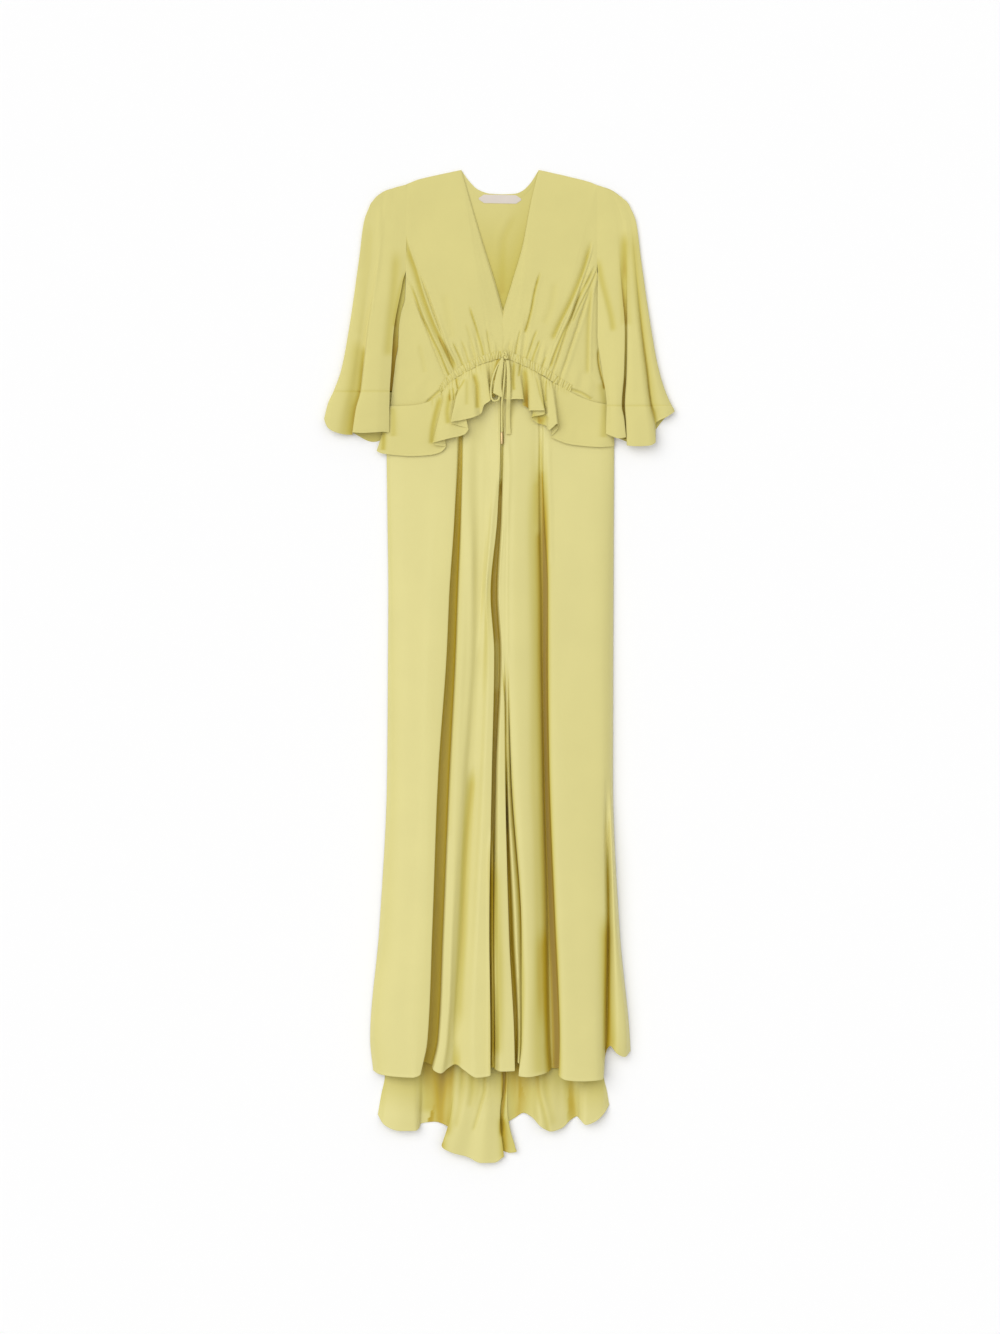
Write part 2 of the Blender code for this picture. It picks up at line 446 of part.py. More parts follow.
def seam_down(rows, across):
    """How far down the bodice's lower seam lies at a place across."""
    line = sorted((row.seam_across, row.seam_down) for row in rows)
    return np.interp(across, [spot for spot, _ in line], [down for _, down in line])


def skirt_top(fold):
    """Where a fold line of the front skirt meets the gathered seam, inside the side seams."""
    return min(max(fold.at_440, SKIRT_TOP_LEFT), SKIRT_TOP_RIGHT)


def fold_rise(fold, downs):
    """Full height of a fold along the skirt: some start flat, and stand up or sink further down."""
    above = fold.rise if fold.rise_above is None else fold.rise_above
    opened = np.clip((downs - fold.opens_at) / FOLD_OPENS, 0, 1)
    return above + (fold.rise - above) * opened * opened * (3 - 2 * opened)


def skirt_line(fold, downs, waist):
    """Across and height along one fold line of the front skirt."""
    spots = [waist, *SKIRT_LEVELS, fold.hem_down]
    values = [skirt_top(fold), fold.at_440, fold.at_570, fold.at_700, fold.at_800, fold.at_1000,
              fold.at_1255, fold.at_1435, fold.hem_across]
    across = smooth_curve(spots, values, downs)
    height = BACK_TOP + fold_rise(fold, downs) * read_profile(SKIRT_SWELL, downs)
    return across, height


def skirt_front(name, rows, bodice_rows):
    """Half of the front skirt, from the gathered seam down to its hem."""
    lines = []
    for fold in rows:
        waist = float(seam_down(bodice_rows, skirt_top(fold))) + JOIN_GAP
        downs = waist + (fold.hem_down - waist) * SKIRT_SHARES
        across, height = skirt_line(fold, downs, waist)
        lines.append(np.stack([across, downs, height], axis=1))
    return cloth(name, fill_between(np.array(lines), 2), satin)


def skirt_height(across, down):
    """Height of the front skirt's upper face at a place under the flounce."""
    rows = SKIRT_FRONT_LEFT[:-1] + SKIRT_FRONT_RIGHT
    places = []
    heights = []
    for fold in rows:
        place, height = skirt_line(fold, np.array([max(down, RUFFLE_CLEAR_DOWN)]), SEAM_TOP_DOWN)
        places.append(place[0])
        heights.append(height[0] + WALL)
    places = np.maximum.accumulate(places)
    return float(np.interp(across, places, heights))


def skirt_back(name, rows):
    """Half of the back skirt, flat on the surface and raised in folds where its train shows."""
    lines = []
    for fold in rows:
        half_way = (TRAIN_LEVELS[-1] + fold.hem_down) / 2
        waist = WAIST_DOWN + SEAM_GAP
        spots = [waist, *TRAIN_LEVELS, half_way, fold.hem_down]
        values = [fold.at_waist, fold.at_1000, fold.at_1370, fold.at_1496, fold.half_way, fold.hem_across]
        downs = waist + (fold.hem_down - waist) * TRAIN_SHARES
        across = smooth_curve(spots, values, downs)
        height = fold.rise * read_profile(TRAIN_SWELL, downs)
        lines.append(np.stack([across, downs, height], axis=1))
    return cloth(name, fill_between(np.array(lines), 1), satin)


def bodice_line(gather, shares):
    """Points along one gather line of the front bodice, from the top edge down to the gathered seam."""
    across = gather.top_across + (gather.seam_across - gather.top_across) * shares
    down = gather.top_down + (gather.seam_down - gather.top_down) * shares
    length = math.hypot(gather.seam_across - gather.top_across, gather.seam_down - gather.top_down)
    ease = shares * shares * (3 - 2 * shares)
    height = gather.top_height + (gather.seam_height - gather.top_height) * ease
    height = height + BODICE_PUFF * np.sin(math.pi * shares) * min(length / PUFF_LENGTH, 1)
    from_seam = (1 - shares) * length
    fade = np.clip((gather.reach - from_seam) / (0.4 * gather.reach), 0, 1)
    flattened = SEAM_CREASE + (1 - SEAM_CREASE) * np.clip(from_seam / CREASE_OPENS, 0, 1)
    height = height + gather.crease * fade * fade * (3 - 2 * fade) * flattened
    return np.stack([across, down, np.maximum(height, BACK_TOP)], axis=1)


def bodice_front(name, rows):
    """Half of the front bodice, its creases running from the armhole and shoulder down to the casing."""
    lines = np.array([bodice_line(gather, BODICE_SHARES) for gather in rows])
    return cloth(name, lines, crepe)


def casing(name, rows):
    """Drawstring channel: the bodice's lowest points moved out, between the two tucks."""
    lines = []
    for gather in rows:
        length = math.hypot(gather.seam_across - gather.top_across, gather.seam_down - gather.top_down)
        shares = 1 - np.array([1.0, 0.5, 0.0]) * CASING_WIDTH / length
        under = bodice_line(gather, BODICE_SHARES)
        line = np.stack([np.interp(shares, BODICE_SHARES, under[:, axis]) for axis in range(3)], axis=1)
        line[:, 2] += CASING_LIFT + np.array([0.0, CASING_BULGE, 0.0])
        lines.append(line)
    return cloth(name, np.array(lines), crepe, RUFFLE_WALL)


def side_across(edge, down):
    spots = [spot for _, spot in edge]
    return np.interp(down, spots, [across for across, _ in edge])


def bodice_back(name):
    """The back bodice in one piece, with the low curve of its neck."""
    lines = []
    for top in BACK_LINES:
        top_down = np.interp(top, *zip(*BACK_TOP_EDGE))
        place = (top - LEFT_SIDE[0][0]) / (RIGHT_SIDE[0][0] - LEFT_SIDE[0][0])
        downs = top_down + (WAIST_DOWN - SEAM_GAP - top_down) * BACK_SHARES
        across = side_across(LEFT_SIDE, downs) * (1 - place) + side_across(RIGHT_SIDE, downs) * place
        lines.append(np.stack([across, downs, np.zeros(len(downs))], axis=1))
    return cloth(name, np.array(lines), crepe)


def flounce(name, rows):
    """Half of the gathered flounce: the skirt's points moved out, then thrown into waves."""
    lines = []
    for ruffle in rows:
        across = ruffle.seam_across + (ruffle.hem_across - ruffle.seam_across) * RUFFLE_SHARES
        top = ruffle.seam_down + JOIN_GAP
        down = top + (ruffle.hem_down - top) * RUFFLE_SHARES
        under = np.array([skirt_height(a, d) for a, d in zip(across, down)])
        height = under + RUFFLE_GAP + RUFFLE_LIFT * ruffle.rise * np.sqrt(RUFFLE_SHARES)
        lines.append(np.stack([across, down, height], axis=1))
    return cloth(name, fill_between(np.array(lines), 2), crepe, RUFFLE_WALL)


def sleeve_lines(rows, side_edge, start, end, shares):
    """Lines of a flattened sleeve tube between two places: 0 the shoulder, 1 the cuff seam, 2 the hem."""
    lines = []
    cuff = LEFT_CUFF_DOWN if rows[0].top_across < 0 else RIGHT_CUFF_DOWN
    for fold in rows:
        flare_down = cuff + FLARE_AT * (fold.hem_down - cuff)
        flare_across = fold.at_cuff + FLARE * (fold.hem_across - fold.at_cuff)
        spots = [fold.top_down, *SLEEVE_LEVELS, cuff, flare_down, fold.hem_down]
        values = [fold.top_across, fold.at_85, fold.at_145, fold.at_271, fold.at_331, fold.at_cuff,
                  flare_across, fold.hem_across]
        from_down = fold.top_down if start == 0 else cuff + SEAM_GAP
        to_down = cuff - SEAM_GAP if end == 1 else fold.hem_down
        downs = from_down + (to_down - from_down) * shares
        across = smooth_curve(spots, values, downs)
        height = np.zeros(len(shares))
        if fold.name == "back_inner":
            beside = side_across(side_edge, downs) + math.copysign(SIDE_GAP, across[0])
            across = np.where(downs < side_edge[-1][1], beside, across)
        if not fold.name.startswith("back"):
            swell = read_profile(SLEEVE_SWELL, downs)
            height = BACK_TOP + SLEEVE_LIFT + WALL + fold.rise * swell
        lines.append(np.stack([across, downs, height], axis=1))
    if rows[0].top_across > 0:
        lines.reverse()
    return np.array(lines)


def sleeve(side, rows, side_edge):
    """A flattened sleeve and the cuff flounce sewn to it, each one tube folded at its outer edge."""
    upper = sleeve_lines(rows, side_edge, 0, 1, SLEEVE_SHARES)
    lower = sleeve_lines(rows, side_edge, 1, 2, CUFF_SHARES)
    cloth("sleeve_" + side, fill_between(upper, 2), crepe, WALL, True)
    cloth("cuff_" + side, fill_between(lower, 2), crepe, RUFFLE_WALL, True)


def label():
    """The bare woven label inside the back neck, with pointed ends."""
    centre = (LABEL_LEFT + LABEL_RIGHT) / 2
    points = [(LABEL_LEFT, LABEL_END_SHARE), (LABEL_LEFT + LABEL_POINT, 1), (centre, 1),
              (LABEL_RIGHT - LABEL_POINT, 1), (LABEL_RIGHT, LABEL_END_SHARE)]
    lines = []
    for across, share in points:
        middle = (LABEL_TOP + LABEL_BOTTOM) / 2 + LABEL_TILT * (across - centre)
        half = (LABEL_BOTTOM - LABEL_TOP) / 2 * share
        downs = [middle - half, middle, middle + half]
        lines.append([(across, down, BACK_TOP) for down in downs])
    return cloth("label", np.array(lines), label_white, RUFFLE_WALL)


def smooth_route(route, spacing):
    points = np.array(route, float)
    along = np.concatenate([[0.0], np.cumsum(np.linalg.norm(np.diff(points, axis=0), axis=1))])
    wanted = np.linspace(0, along[-1], max(3, round(along[-1] / spacing) + 1))
    return np.stack([smooth_curve(along, points[:, axis], wanted) for axis in range(3)], axis=1)


def round_cord(name, route, radius, material):
    """A round cord along its route, with closed ends."""
    points = smooth_route(route, 5 * radius)
    curve = bpy.data.curves.new(name, "CURVE")
    curve.dimensions = "3D"
    curve.bevel_depth = radius * MM
    curve.bevel_resolution = 2
    curve.use_fill_caps = True
    spline = curve.splines.new("POLY")
    spline.points.add(len(points) - 1)
    for spot, point in zip(spline.points, points):
        spot.co = (*to_world(point), 1.0)
    curve.materials.append(material)
    made = bpy.data.objects.new(name, curve)
    dress.objects.link(made)
    return made


def flat_tie(name, route):
    """The flat end of the drawstring, which widens towards its tip."""
    points = smooth_route(route, TIE_SPACING)
    widths = np.linspace(TIE_ROOT_SHARE, TIE_TIP_SHARE, len(points)) * TIE_WIDTH
    lines = []
    for side in (-0.5, 0.0, 0.5):
        line = points.copy()
        line[:, 0] += side * widths
        lines.append(line)
    return cloth(name, np.array(lines), crepe, RUFFLE_WALL)


def knot():
    """The drawstring's knot, a flattened ball with a waist."""
    ball = bmesh.new()
    bmesh.ops.create_uvsphere(ball, u_segments=16, v_segments=10, radius=1.0)
    for vertex in ball.verts:
        pinch = 1 - KNOT_PINCH * math.exp(-(vertex.co.y / KNOT_PINCH_WIDTH) ** 2)
        across = KNOT_CENTRE[0] + KNOT_HALF[0] * vertex.co.x * pinch
        down = KNOT_CENTRE[1] - KNOT_HALF[1] * vertex.co.y
        height = KNOT_CENTRE[2] + KNOT_HALF[2] * vertex.co.z * pinch
        vertex.co = to_world((across, down, height))
    mesh = bpy.data.meshes.new("drawstring_knot")
    ball.to_mesh(mesh)
    ball.free()
    mesh.shade_smooth()
    mesh.materials.append(crepe)
    dress.objects.link(bpy.data.objects.new("drawstring_knot", mesh))


def aglet():
    """The metal tip on the round end of the drawstring."""
    across, down, height = LEFT_END_ROUTE[-1]
    start = down + LAYER_GAP
    route = [(across, start, height), (across - AGLET_LEAN, start + AGLET_LENGTH, height)]
    round_cord("drawstring_tip", route, AGLET_RADIUS, gold)


clear_scene()
dress = bpy.data.collections.new("v_neck_maxi_dress")
bpy.context.scene.collection.children.link(dress)
crepe = make_material("crepe")
satin = make_material("satin")
label_white = make_material("label_white")
gold = make_material("gold")

bodice_back("bodice_back")
skirt_back("skirt_back_left", SKIRT_BACK_LEFT)
skirt_back("skirt_back_right", SKIRT_BACK_RIGHT)
label()
bodice_front("bodice_front_left", BODICE_LEFT)
bodice_front("bodice_front_right", BODICE_RIGHT)
skirt_front("skirt_front_left", SKIRT_FRONT_LEFT, BODICE_LEFT)
skirt_front("skirt_front_right", SKIRT_FRONT_RIGHT, BODICE_RIGHT)
casing("casing_left", BODICE_LEFT[5:])
casing("casing_right", BODICE_RIGHT[:-5])
flounce("flounce_left", FLOUNCE_LEFT)
flounce("flounce_right", FLOUNCE_RIGHT)
sleeve("left", SLEEVE_LEFT, LEFT_SIDE)
sleeve("right", SLEEVE_RIGHT, RIGHT_SIDE)
knot()
round_cord("drawstring_loop", LOOP_ROUTE, CORD_RADIUS, crepe)
round_cord("drawstring_end_left", LEFT_END_ROUTE, CORD_RADIUS, crepe)
flat_tie("drawstring_end_right", RIGHT_TIE_ROUTE)
aglet()
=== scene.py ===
"""The finished look of a long V-neck dress, laid flat on a pale floor and seen from straight above.

Each cut-and-sewn piece is a thin shell of cloth on the form of its solid. The tables give lengths in
millimetres: "across" from the centre front towards the wearer's left (the viewer's right), "down" from the
two neck points, and heights from the floor. Finished meshes are in metres, +Z up, neck towards +Y.
"""

import math
from collections import namedtuple

import bpy
import numpy as np
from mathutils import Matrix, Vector


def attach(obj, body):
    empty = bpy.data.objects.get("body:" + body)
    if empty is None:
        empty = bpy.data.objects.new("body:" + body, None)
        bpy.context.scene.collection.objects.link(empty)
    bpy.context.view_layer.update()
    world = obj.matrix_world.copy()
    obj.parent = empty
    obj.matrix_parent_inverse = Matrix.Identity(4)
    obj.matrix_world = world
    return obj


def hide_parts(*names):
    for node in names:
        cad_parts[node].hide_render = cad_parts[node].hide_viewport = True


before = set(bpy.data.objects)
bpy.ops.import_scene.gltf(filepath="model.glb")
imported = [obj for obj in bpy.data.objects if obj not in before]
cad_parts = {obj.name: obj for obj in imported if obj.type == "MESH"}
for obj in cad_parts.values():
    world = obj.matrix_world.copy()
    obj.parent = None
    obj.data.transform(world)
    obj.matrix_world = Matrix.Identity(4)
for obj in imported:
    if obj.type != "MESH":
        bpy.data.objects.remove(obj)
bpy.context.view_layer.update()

MM = 0.001

# Sizes of the dress, millimetres
OVERALL_LENGTH = 1639.0
SPREAD_MIDDLE = -6.0
WALL = 1.2
SHELL = 0.6
LABEL_SHELL = 0.4
BACK_TOP = 1.6
WAIST_DOWN = 391.0
BELOW_WAIST = 2.0
SEAM_TOP_DOWN = 311.0
SKIRT_TOP_LEFT = -186.0
SKIRT_TOP_RIGHT = 181.5
SKIRT_LEVELS = [440, 570, 700, 800, 1000, 1255, 1435]
FOLD_OPENS = 180.0
TRAIN_LEVELS = [1000, 1370, 1496]
SLEEVE_LEVELS = [85, 145, 271, 331]
FLARE_AT = 0.4
FLARE = 0.55
CUFF_DOWN = {"left": 366.0, "right": 390.0}
ARMPIT_DOWN = {"left": 178.0, "right": 163.0}
NECK_POINTS = (-69.0, 59.0)
CASING_WIDTH = 12.0
CORD_RADIUS = 1.6
KNOT_CORD_RADIUS = 1.7
TIE_WIDTH = 5.5
AGLET_RADIUS = 2.3
AGLET_LENGTH = 20.0
AGLET_LEAN = 0.2
AGLET_GAP = 0.4
AGLET_ROUNDING = 0.9
AGLET_ROUNDING_STEPS = 4
AGLET_SIDES = 40
CORD_ROUNDNESS = 5

# Seams and hems, millimetres unless it is a share
UNDER_SEAM = 0.3
SEAM_LAP = 0.6
CLOSED = 0.48
CLOSED_FRONT = 0.55
SLEEVE_GAP = 0.3
SEAM_DIP = 0.5
# Painted shade along the seams of sleeves and cuffs
SEAM_SHADE = 0.25
SLEEVE_SEAM_WIDTH = 2.0
CUFF_SEAM_WIDTH = 1.6
HEM_WIDTH = 5.0
HEM_SWELL = 0.45
HEM_ROWS = np.array([1.6, 1.3, 1.0, 0.8, 0.5, 0.25, 0.1])
HEM_PROFILE = np.array([0.0, 0.1, 0.8, 1.0, 1.0, 0.7])
NO_HEM = 100.0
STITCH_FROM_EDGE = 4.2
STITCH_LENGTH = 2.6
STITCH_HEIGHT = 1.6
THREAD_EDGE = (0.16, 0.3)
THREAD_END = (0.32, 0.42)
CASING_PROFILE = np.array([0.0, 0.75, 0.5, 0.85, 1.05, 1.15, 1.2, 1.15, 1.05, 0.85, 0.5, 0.75, 0.0])

# How closely the cloth is drawn: the gap between lines in millimetres, and rows along a piece of some length
SKIRT_PITCH = 2.9
TRAIN_PITCH = 3.0
CREPE_PITCH = 2.35
BODICE_PITCH = 2.5
CASING_PITCH = 0.7
CORD_PITCH = 2.0
TIE_PITCH = 1.5
LEAST_STEP = 0.01
SKIRT_ROWS = (190, 1150)
TRAIN_ROWS = (60, 190)
RUFFLE_ROWS = (46, 90)
CUFF_ROWS = (30, 62)
SLEEVE_ROWS = (120, 330)
HIDDEN_ROWS = 30
HIDDEN_SHARE = 0.84
BODICE_ROWS = (0.03, 5, 160)
BACK_ROWS = (0.04, 14, 90)
BACK_COLUMNS = 120
LABEL_GRID = (57, 17)
CREASE_SAMPLES = 41
KNOT_POINTS = 96
TIE_LINES = 11
FLAP_LINES = 13

# Painted shade from how deep a point lies between its folds: how far to look for them, and where the shade
# starts and ends
SKIRT_VALLEY = (30.0, 6.0, 16.0)
TRAIN_VALLEY = (24.0, 3.0, 14.0)
FLOUNCE_VALLEY = (16.0, 3.0, 15.0)
SLEEVE_VALLEY = (22.0, 3.0, 11.0)
# How strong the painted shade of folds is, and where it fades in
VALLEY_SHADE = 0.88
FLOUNCE_SHADE = 0.8
SLEEVE_SHADE = 0.75
SLEEVE_SHADE_FROM = {"left": (220, 340), "right": (100, 280)}
LEAST_SWELL = 0.42
LEAST_SLEEVE_SWELL = 0.12
# Painted shade can go past 1, up to the darkest shade colour
DARKEST_SHADE = 1.5
# Painted shade on a sleeve's and a cuff's inside where it shows, and the steps in which it deepens down
INSIDE_SLEEVE_SHADE = 1.0
INSIDE_CUFF_SHADE = 0.3
INSIDE_SHADE_STEPS = ((0.36, 110, 165), (0.64, 215, 335))
# Painted shade on the back bodice, deepening down the V and towards the viewer's right
IN_THE_V_SHADE = 0.5
IN_THE_V_SHADE_FROM = (20, 225)
BESIDE_THE_V_SHADE = 0.15
BESIDE_THE_V_SHADE_FROM = (0, 40)
TRAIN_SHADE_FROM = (1440, 1520)
RUFFLE_SHADE_FROM = (0.1, 0.5)
# Painted shadow on the train just below the front skirt's hem
UNDER_HEM_SHADE = 0.45
UNDER_HEM_START = 5.0
UNDER_HEM_REACH = 70.0

# A pressed crease, as shares of its length or of its width
CREASE_REACH = 5.0
CREASE_STARTS = 0.18
CREASE_ENDS = 0.93
RIDGE_AT = 2.1
RIDGE_WIDTH = 1.1
# How much wider a crease's painted shade is than its trough
SHADE_WIDTH = 1.25

# Gathers opening out of a seam: how many, how deep, how long, their random seed and where on the seam
Gathers = namedtuple("Gathers", "count depth reach seed low high")
BODICE_GATHERS = {"left": Gathers(34, 0.9, 42, 11, 0.5, 1.0), "right": Gathers(34, 0.9, 42, 12, 0.0, 0.5)}
FLOUNCE_GATHERS = {"left": Gathers(30, 1.2, 26, 31, 0.35, 1.0), "right": Gathers(30, 1.2, 26, 32, 0.0, 0.62)}
GATHER_SHIFT = 0.35
GATHER_WIDTHS = (0.8, 1.5)
GATHER_LENGTHS = (0.3, 1.0)
GATHER_DEPTHS = (0.4, 1.0)
GATHER_START = 0.1
# Painted shade in a gather's trough, as a share of its depth
GATHER_SHADE = 0.22
CASING_SEEDS = {"left": 21, "right": 22}
CASING_WIDTHS = (0.7, 1.2)
CASING_DEPTHS = (0.6, 1.4)
CASING_LEAN = (-2.0, 2.0)
CASING_STEPS = (2.6, 5.4)
CASING_START = 1.0
BESIDE_CASING = 5
# Painted shade in the casing's puckers, as a share of their depth
CASING_SHADE = 0.3

# Slow waves of soft cloth: their height, how many each way and their random seed
Waves = namedtuple("Waves", "height cells seed")
SATIN_WAVES = (Waves(1.0, (16, 3), 5), Waves(0.5, (34, 5), 6))
BODICE_WAVES = {"left": Waves(0.25, (12, 6), 41), "right": Waves(0.25, (12, 6), 42)}
FLOUNCE_WAVES = {"left": Waves(0.3, (30, 3), 43), "right": Waves(0.3, (30, 3), 44)}
SLEEVE_WAVES = {"left": Waves(0.3, (14, 5), 51), "right": Waves(0.3, (14, 5), 52)}
SATIN_DRAPE = 0.35
SATIN_FROM = (420, 620)
RUFFLE_WAVES_FROM = (0.1, 0.4)
SOFT_ABOVE = 3.2
CALM_VALLEYS = 0.7

# How the cloth lies, millimetres unless it is a share
SLIT_MIDDLE = [(700, 4.0), (790, 4.0), (1000, 5.5), (1255, 13.5)]
SLIT_HALF = 4.5
SLIT_FILL = 21.0
# How much painted shade the closed part of the slit loses
SLIT_LIGHTER = 0.8
SLIT_CLOSES = (700, 790)
SLIT_OPENS = (940, 1110)
SOFT_CREASE = 0.5
CREASE_FADE = 0.4
EDGE_ROLL = 14.0
EDGE_DROP = 0.35
EDGE_SLACK = 0.3
NECK_BAND_LIFT = 0.35
NECK_BAND_EDGE = (8.5, 9.3)
NECK_PUFF = 0.3
NECK_PUFF_STARTS = (10, 60)
NECK_PUFF_ENDS = (120, 220)
ARMHOLE_REACH = 24.0
ARMHOLE_LIFT = 1.1
ARMHOLE_FROM = 100.0
ARMHOLE_SPAN = 55.0
ARMHOLE_FADES = (5, 70)
SLEEVE_HEAD = 1.9
SLEEVE_HEAD_ENDS = (60, 180)
ABOVE_ARMPIT = 18.0
BELOW_ARMPIT = 6.0
SLEEVE_ON_BODICE = 0.05
SLEEVE_FRONT_ABOVE = 2.5
SLEEVE_LIFT = 0.8
RUFFLE_GAP = 1.4
RUFFLE_LIFT = 0.82
RUFFLE_TUCK = 1.0
RUFFLE_CLEAR_DOWN = 330.0
LOWEST_RUFFLE = 481.0
WIDEST_RUFFLE = 225.0
INSIDE_SURFACE = 0.001
BODICE_PUFF = 3.0
PUFF_LENGTH = 300.0
SEAM_CREASE = 0.45
CREASE_OPENS = 35.0
CASING_LIFT = 2.4
LABEL_LIFT = 0.9
LABEL_BOW = 0.25
LABEL_RIPPLE = 0.12
LABEL_RIPPLE_LENGTH = 7.0
FLAP_BULGE = 0.5
TIE_ROOT_SHARE = 0.8
TIE_TIP_SHARE = 1.3
TIE_BOW = 0.5
TIE_RIPPLE = 0.18
TIE_RIPPLES = 18.0

# Materials: the inputs and the result of a node that mixes colours, and the size of yarns and drift
COLOUR_SOCKETS = (0, 6, 7)
COLOUR_RESULT = 2
YARN_RUN = 0.18
YARN_DETAIL = 2.0
DRIFT_SCALE = 14.0
DRIFT_DETAIL = 3.0
DRIFT_EDGES = (0.3, 0.7)
RELIEF = 0.0004
CLOTH_SMOOTH_ANGLE = 62.0
METAL_SMOOTH_ANGLE = 40.0
# Each cloth's own colour, then the colours of its painted shade in folds: half, deep and darkest
LEMON_AND_PAINTED_SHADES = ((0.69, 0.622, 0.238), (0.58, 0.50, 0.115), (0.44, 0.285, 0.03), (0.27, 0.17, 0.01))
SATIN_LEMON_AND_PAINTED_SHADES = ((0.705, 0.64, 0.25), (0.60, 0.525, 0.13), (0.50, 0.36, 0.02), (0.34, 0.225, 0.01))
LABEL_WHITE_AND_PAINTED_SHADES = ((0.70, 0.63, 0.56), (0.6, 0.53, 0.45), (0.5, 0.45, 0.4), (0.4, 0.36, 0.32))
CREPE_LOOK = {"Roughness": 0.88, "Sheen Weight": 0.12, "Sheen Roughness": 0.5, "Specular IOR Level": 0.25}
CORD_LOOK = {"Roughness": 0.85, "Specular IOR Level": 0.25}
SATIN_LOOK = {"Roughness": 0.44, "Sheen Weight": 0.1, "Sheen Roughness": 0.35, "Specular IOR Level": 0.4,
              "Anisotropic": 0.4}
LABEL_LOOK = {"Roughness": 0.7}
GOLD = (0.62, 0.46, 0.22)
GOLD_LOOK = {"Roughness": 0.36, "Metallic": 1.0}
FLOOR_COLOUR = (0.97, 0.97, 0.97)
FLOOR_LOOK = {"Roughness": 0.9, "Specular IOR Level": 0.0}
Weave = namedtuple("Weave", "across along bump mottle")
CREPE_WEAVE = Weave(1400, 1400, 0.32, 0.02)
CORD_WEAVE = Weave(1400, 1400, 0.3, 0.02)
SATIN_WEAVE = Weave(2600, 700, 0.12, 0.015)
LABEL_WEAVE = Weave(3000, 3000, 0.3, 0.03)

# Picture, metres
PICTURE_HEIGHT = 2.2011
PICTURE_LIFT = 0.012
PICTURE_MIDDLE = (0.001, -0.0014)
FLOOR_SIZE = 14.0
FLOOR_DROP = 0.0006

# Camera and lights: millimetres for the lens, degrees for the softness
LENS = 150.0
SENSOR = 36.0
FAR_CLIP = 50.0
WORLD_LOOK = {"Color": (1.0, 1.0, 1.0, 1.0), "Strength": 0.46}
KEY_PLACE = (-2.0, 1.1, 3.3)
KEY_STRENGTH = 1.55
KEY_SOFTNESS = 60
FILL_PLACE = (1.6, 0.2, 3.4)
FILL_STRENGTH = 0.55
FILL_SOFTNESS = 80

Skirt = namedtuple("Skirt", ["name", "at_440", "at_570", "at_700", "at_800", "at_1000", "at_1255", "at_1435",
                             "hem_across", "hem_down", "rise", "rise_above", "opens_at"], defaults=(None, 0))
Train = namedtuple("Train", "name at_waist at_1000 at_1370 at_1496 half_way hem_across hem_down rise")
Gather = namedtuple("Gather", ["name", "top_across", "top_down", "seam_across", "seam_down", "top_height",
                               "seam_height", "crease", "reach"], defaults=(0, 1))
Ruffle = namedtuple("Ruffle", "name seam_across seam_down hem_across hem_down rise")
Sleeve = namedtuple("Sleeve", ["name", "top_across", "top_down", "at_85", "at_145", "at_271", "at_331",
                               "at_cuff", "hem_across", "hem_down", "rise"])

SKIRT_FRONT_LEFT = [Skirt(*row) for row in (
    ("side", -192, -190.5, -189, -189.5, -191, -204, -219, -214, 1487, 0),
    ("side_roll", -185, -183.5, -182, -182, -183, -195, -210, -205, 1492, 11),
    ("outer_panel", -160, -160, -160, -160.5, -163, -173, -182, -177, 1496, 22),
    ("outer_crest", -120, -123.5, -129, -131.5, -137, -147, -157, -155, 1497, 27),
    ("inner_rise", -104, -109, -117, -121.5, -129, -137, -149, -150, 1497, 29),
    ("inner_panel", -91, -96, -104, -109.5, -120, -127, -139, -144, 1496, 30),
    ("first_lip", -76, -80.5, -89, -93.5, -107.5, -117, -125, -136, 1491, 29),
    ("first_tuck", -74, -80.5, -92, -96.5, -112, -123, -132, -142, 1481, 15),
    ("first_floor", -72, -77, -86, -90.5, -102.5, -112, -121, -133, 1473, 4),
    ("first_slope", -67.5, -70.5, -76, -79.5, -89.5, -100, -108.5, -118.5, 1477, 8),
    ("second_lip", -65, -67.5, -72, -75.5, -85.5, -96, -104, -114, 1485, 26),
    ("second_crest", -57, -59, -63, -67, -77, -87, -94, -103, 1490, 28),
    ("middle_slope", -43, -44, -47, -52, -64, -78, -87, -91, 1482, 20),
    ("middle_trough", -31, -31.5, -36, -41, -51, -68, -79, -79, 1476, 15),
    ("middle_rise", -22, -24, -31, -32, -40, -54, -64, -64, 1485, 22),
    ("middle_crest", -13, -17, -27, -22.5, -29, -40, -46, -43, 1497, 29),
    ("centre_lip", -5, -9.6, -21, -15, -19, -23, -21, -21, 1493, 28),
    ("centre_tuck", -5.2, -11.2, -23.5, -17.5, -21.5, -26, -26, -25, 1484, 14),
    ("centre_floor", -4.2, -8.2, -17, -11.5, -17, -20.5, -20.6, -21, 1481, 5),
    ("centre_seam", -3, -6.6, -15, -9.5, -15.4, -18.6, -17.5, -19, 1481, 5),
)]
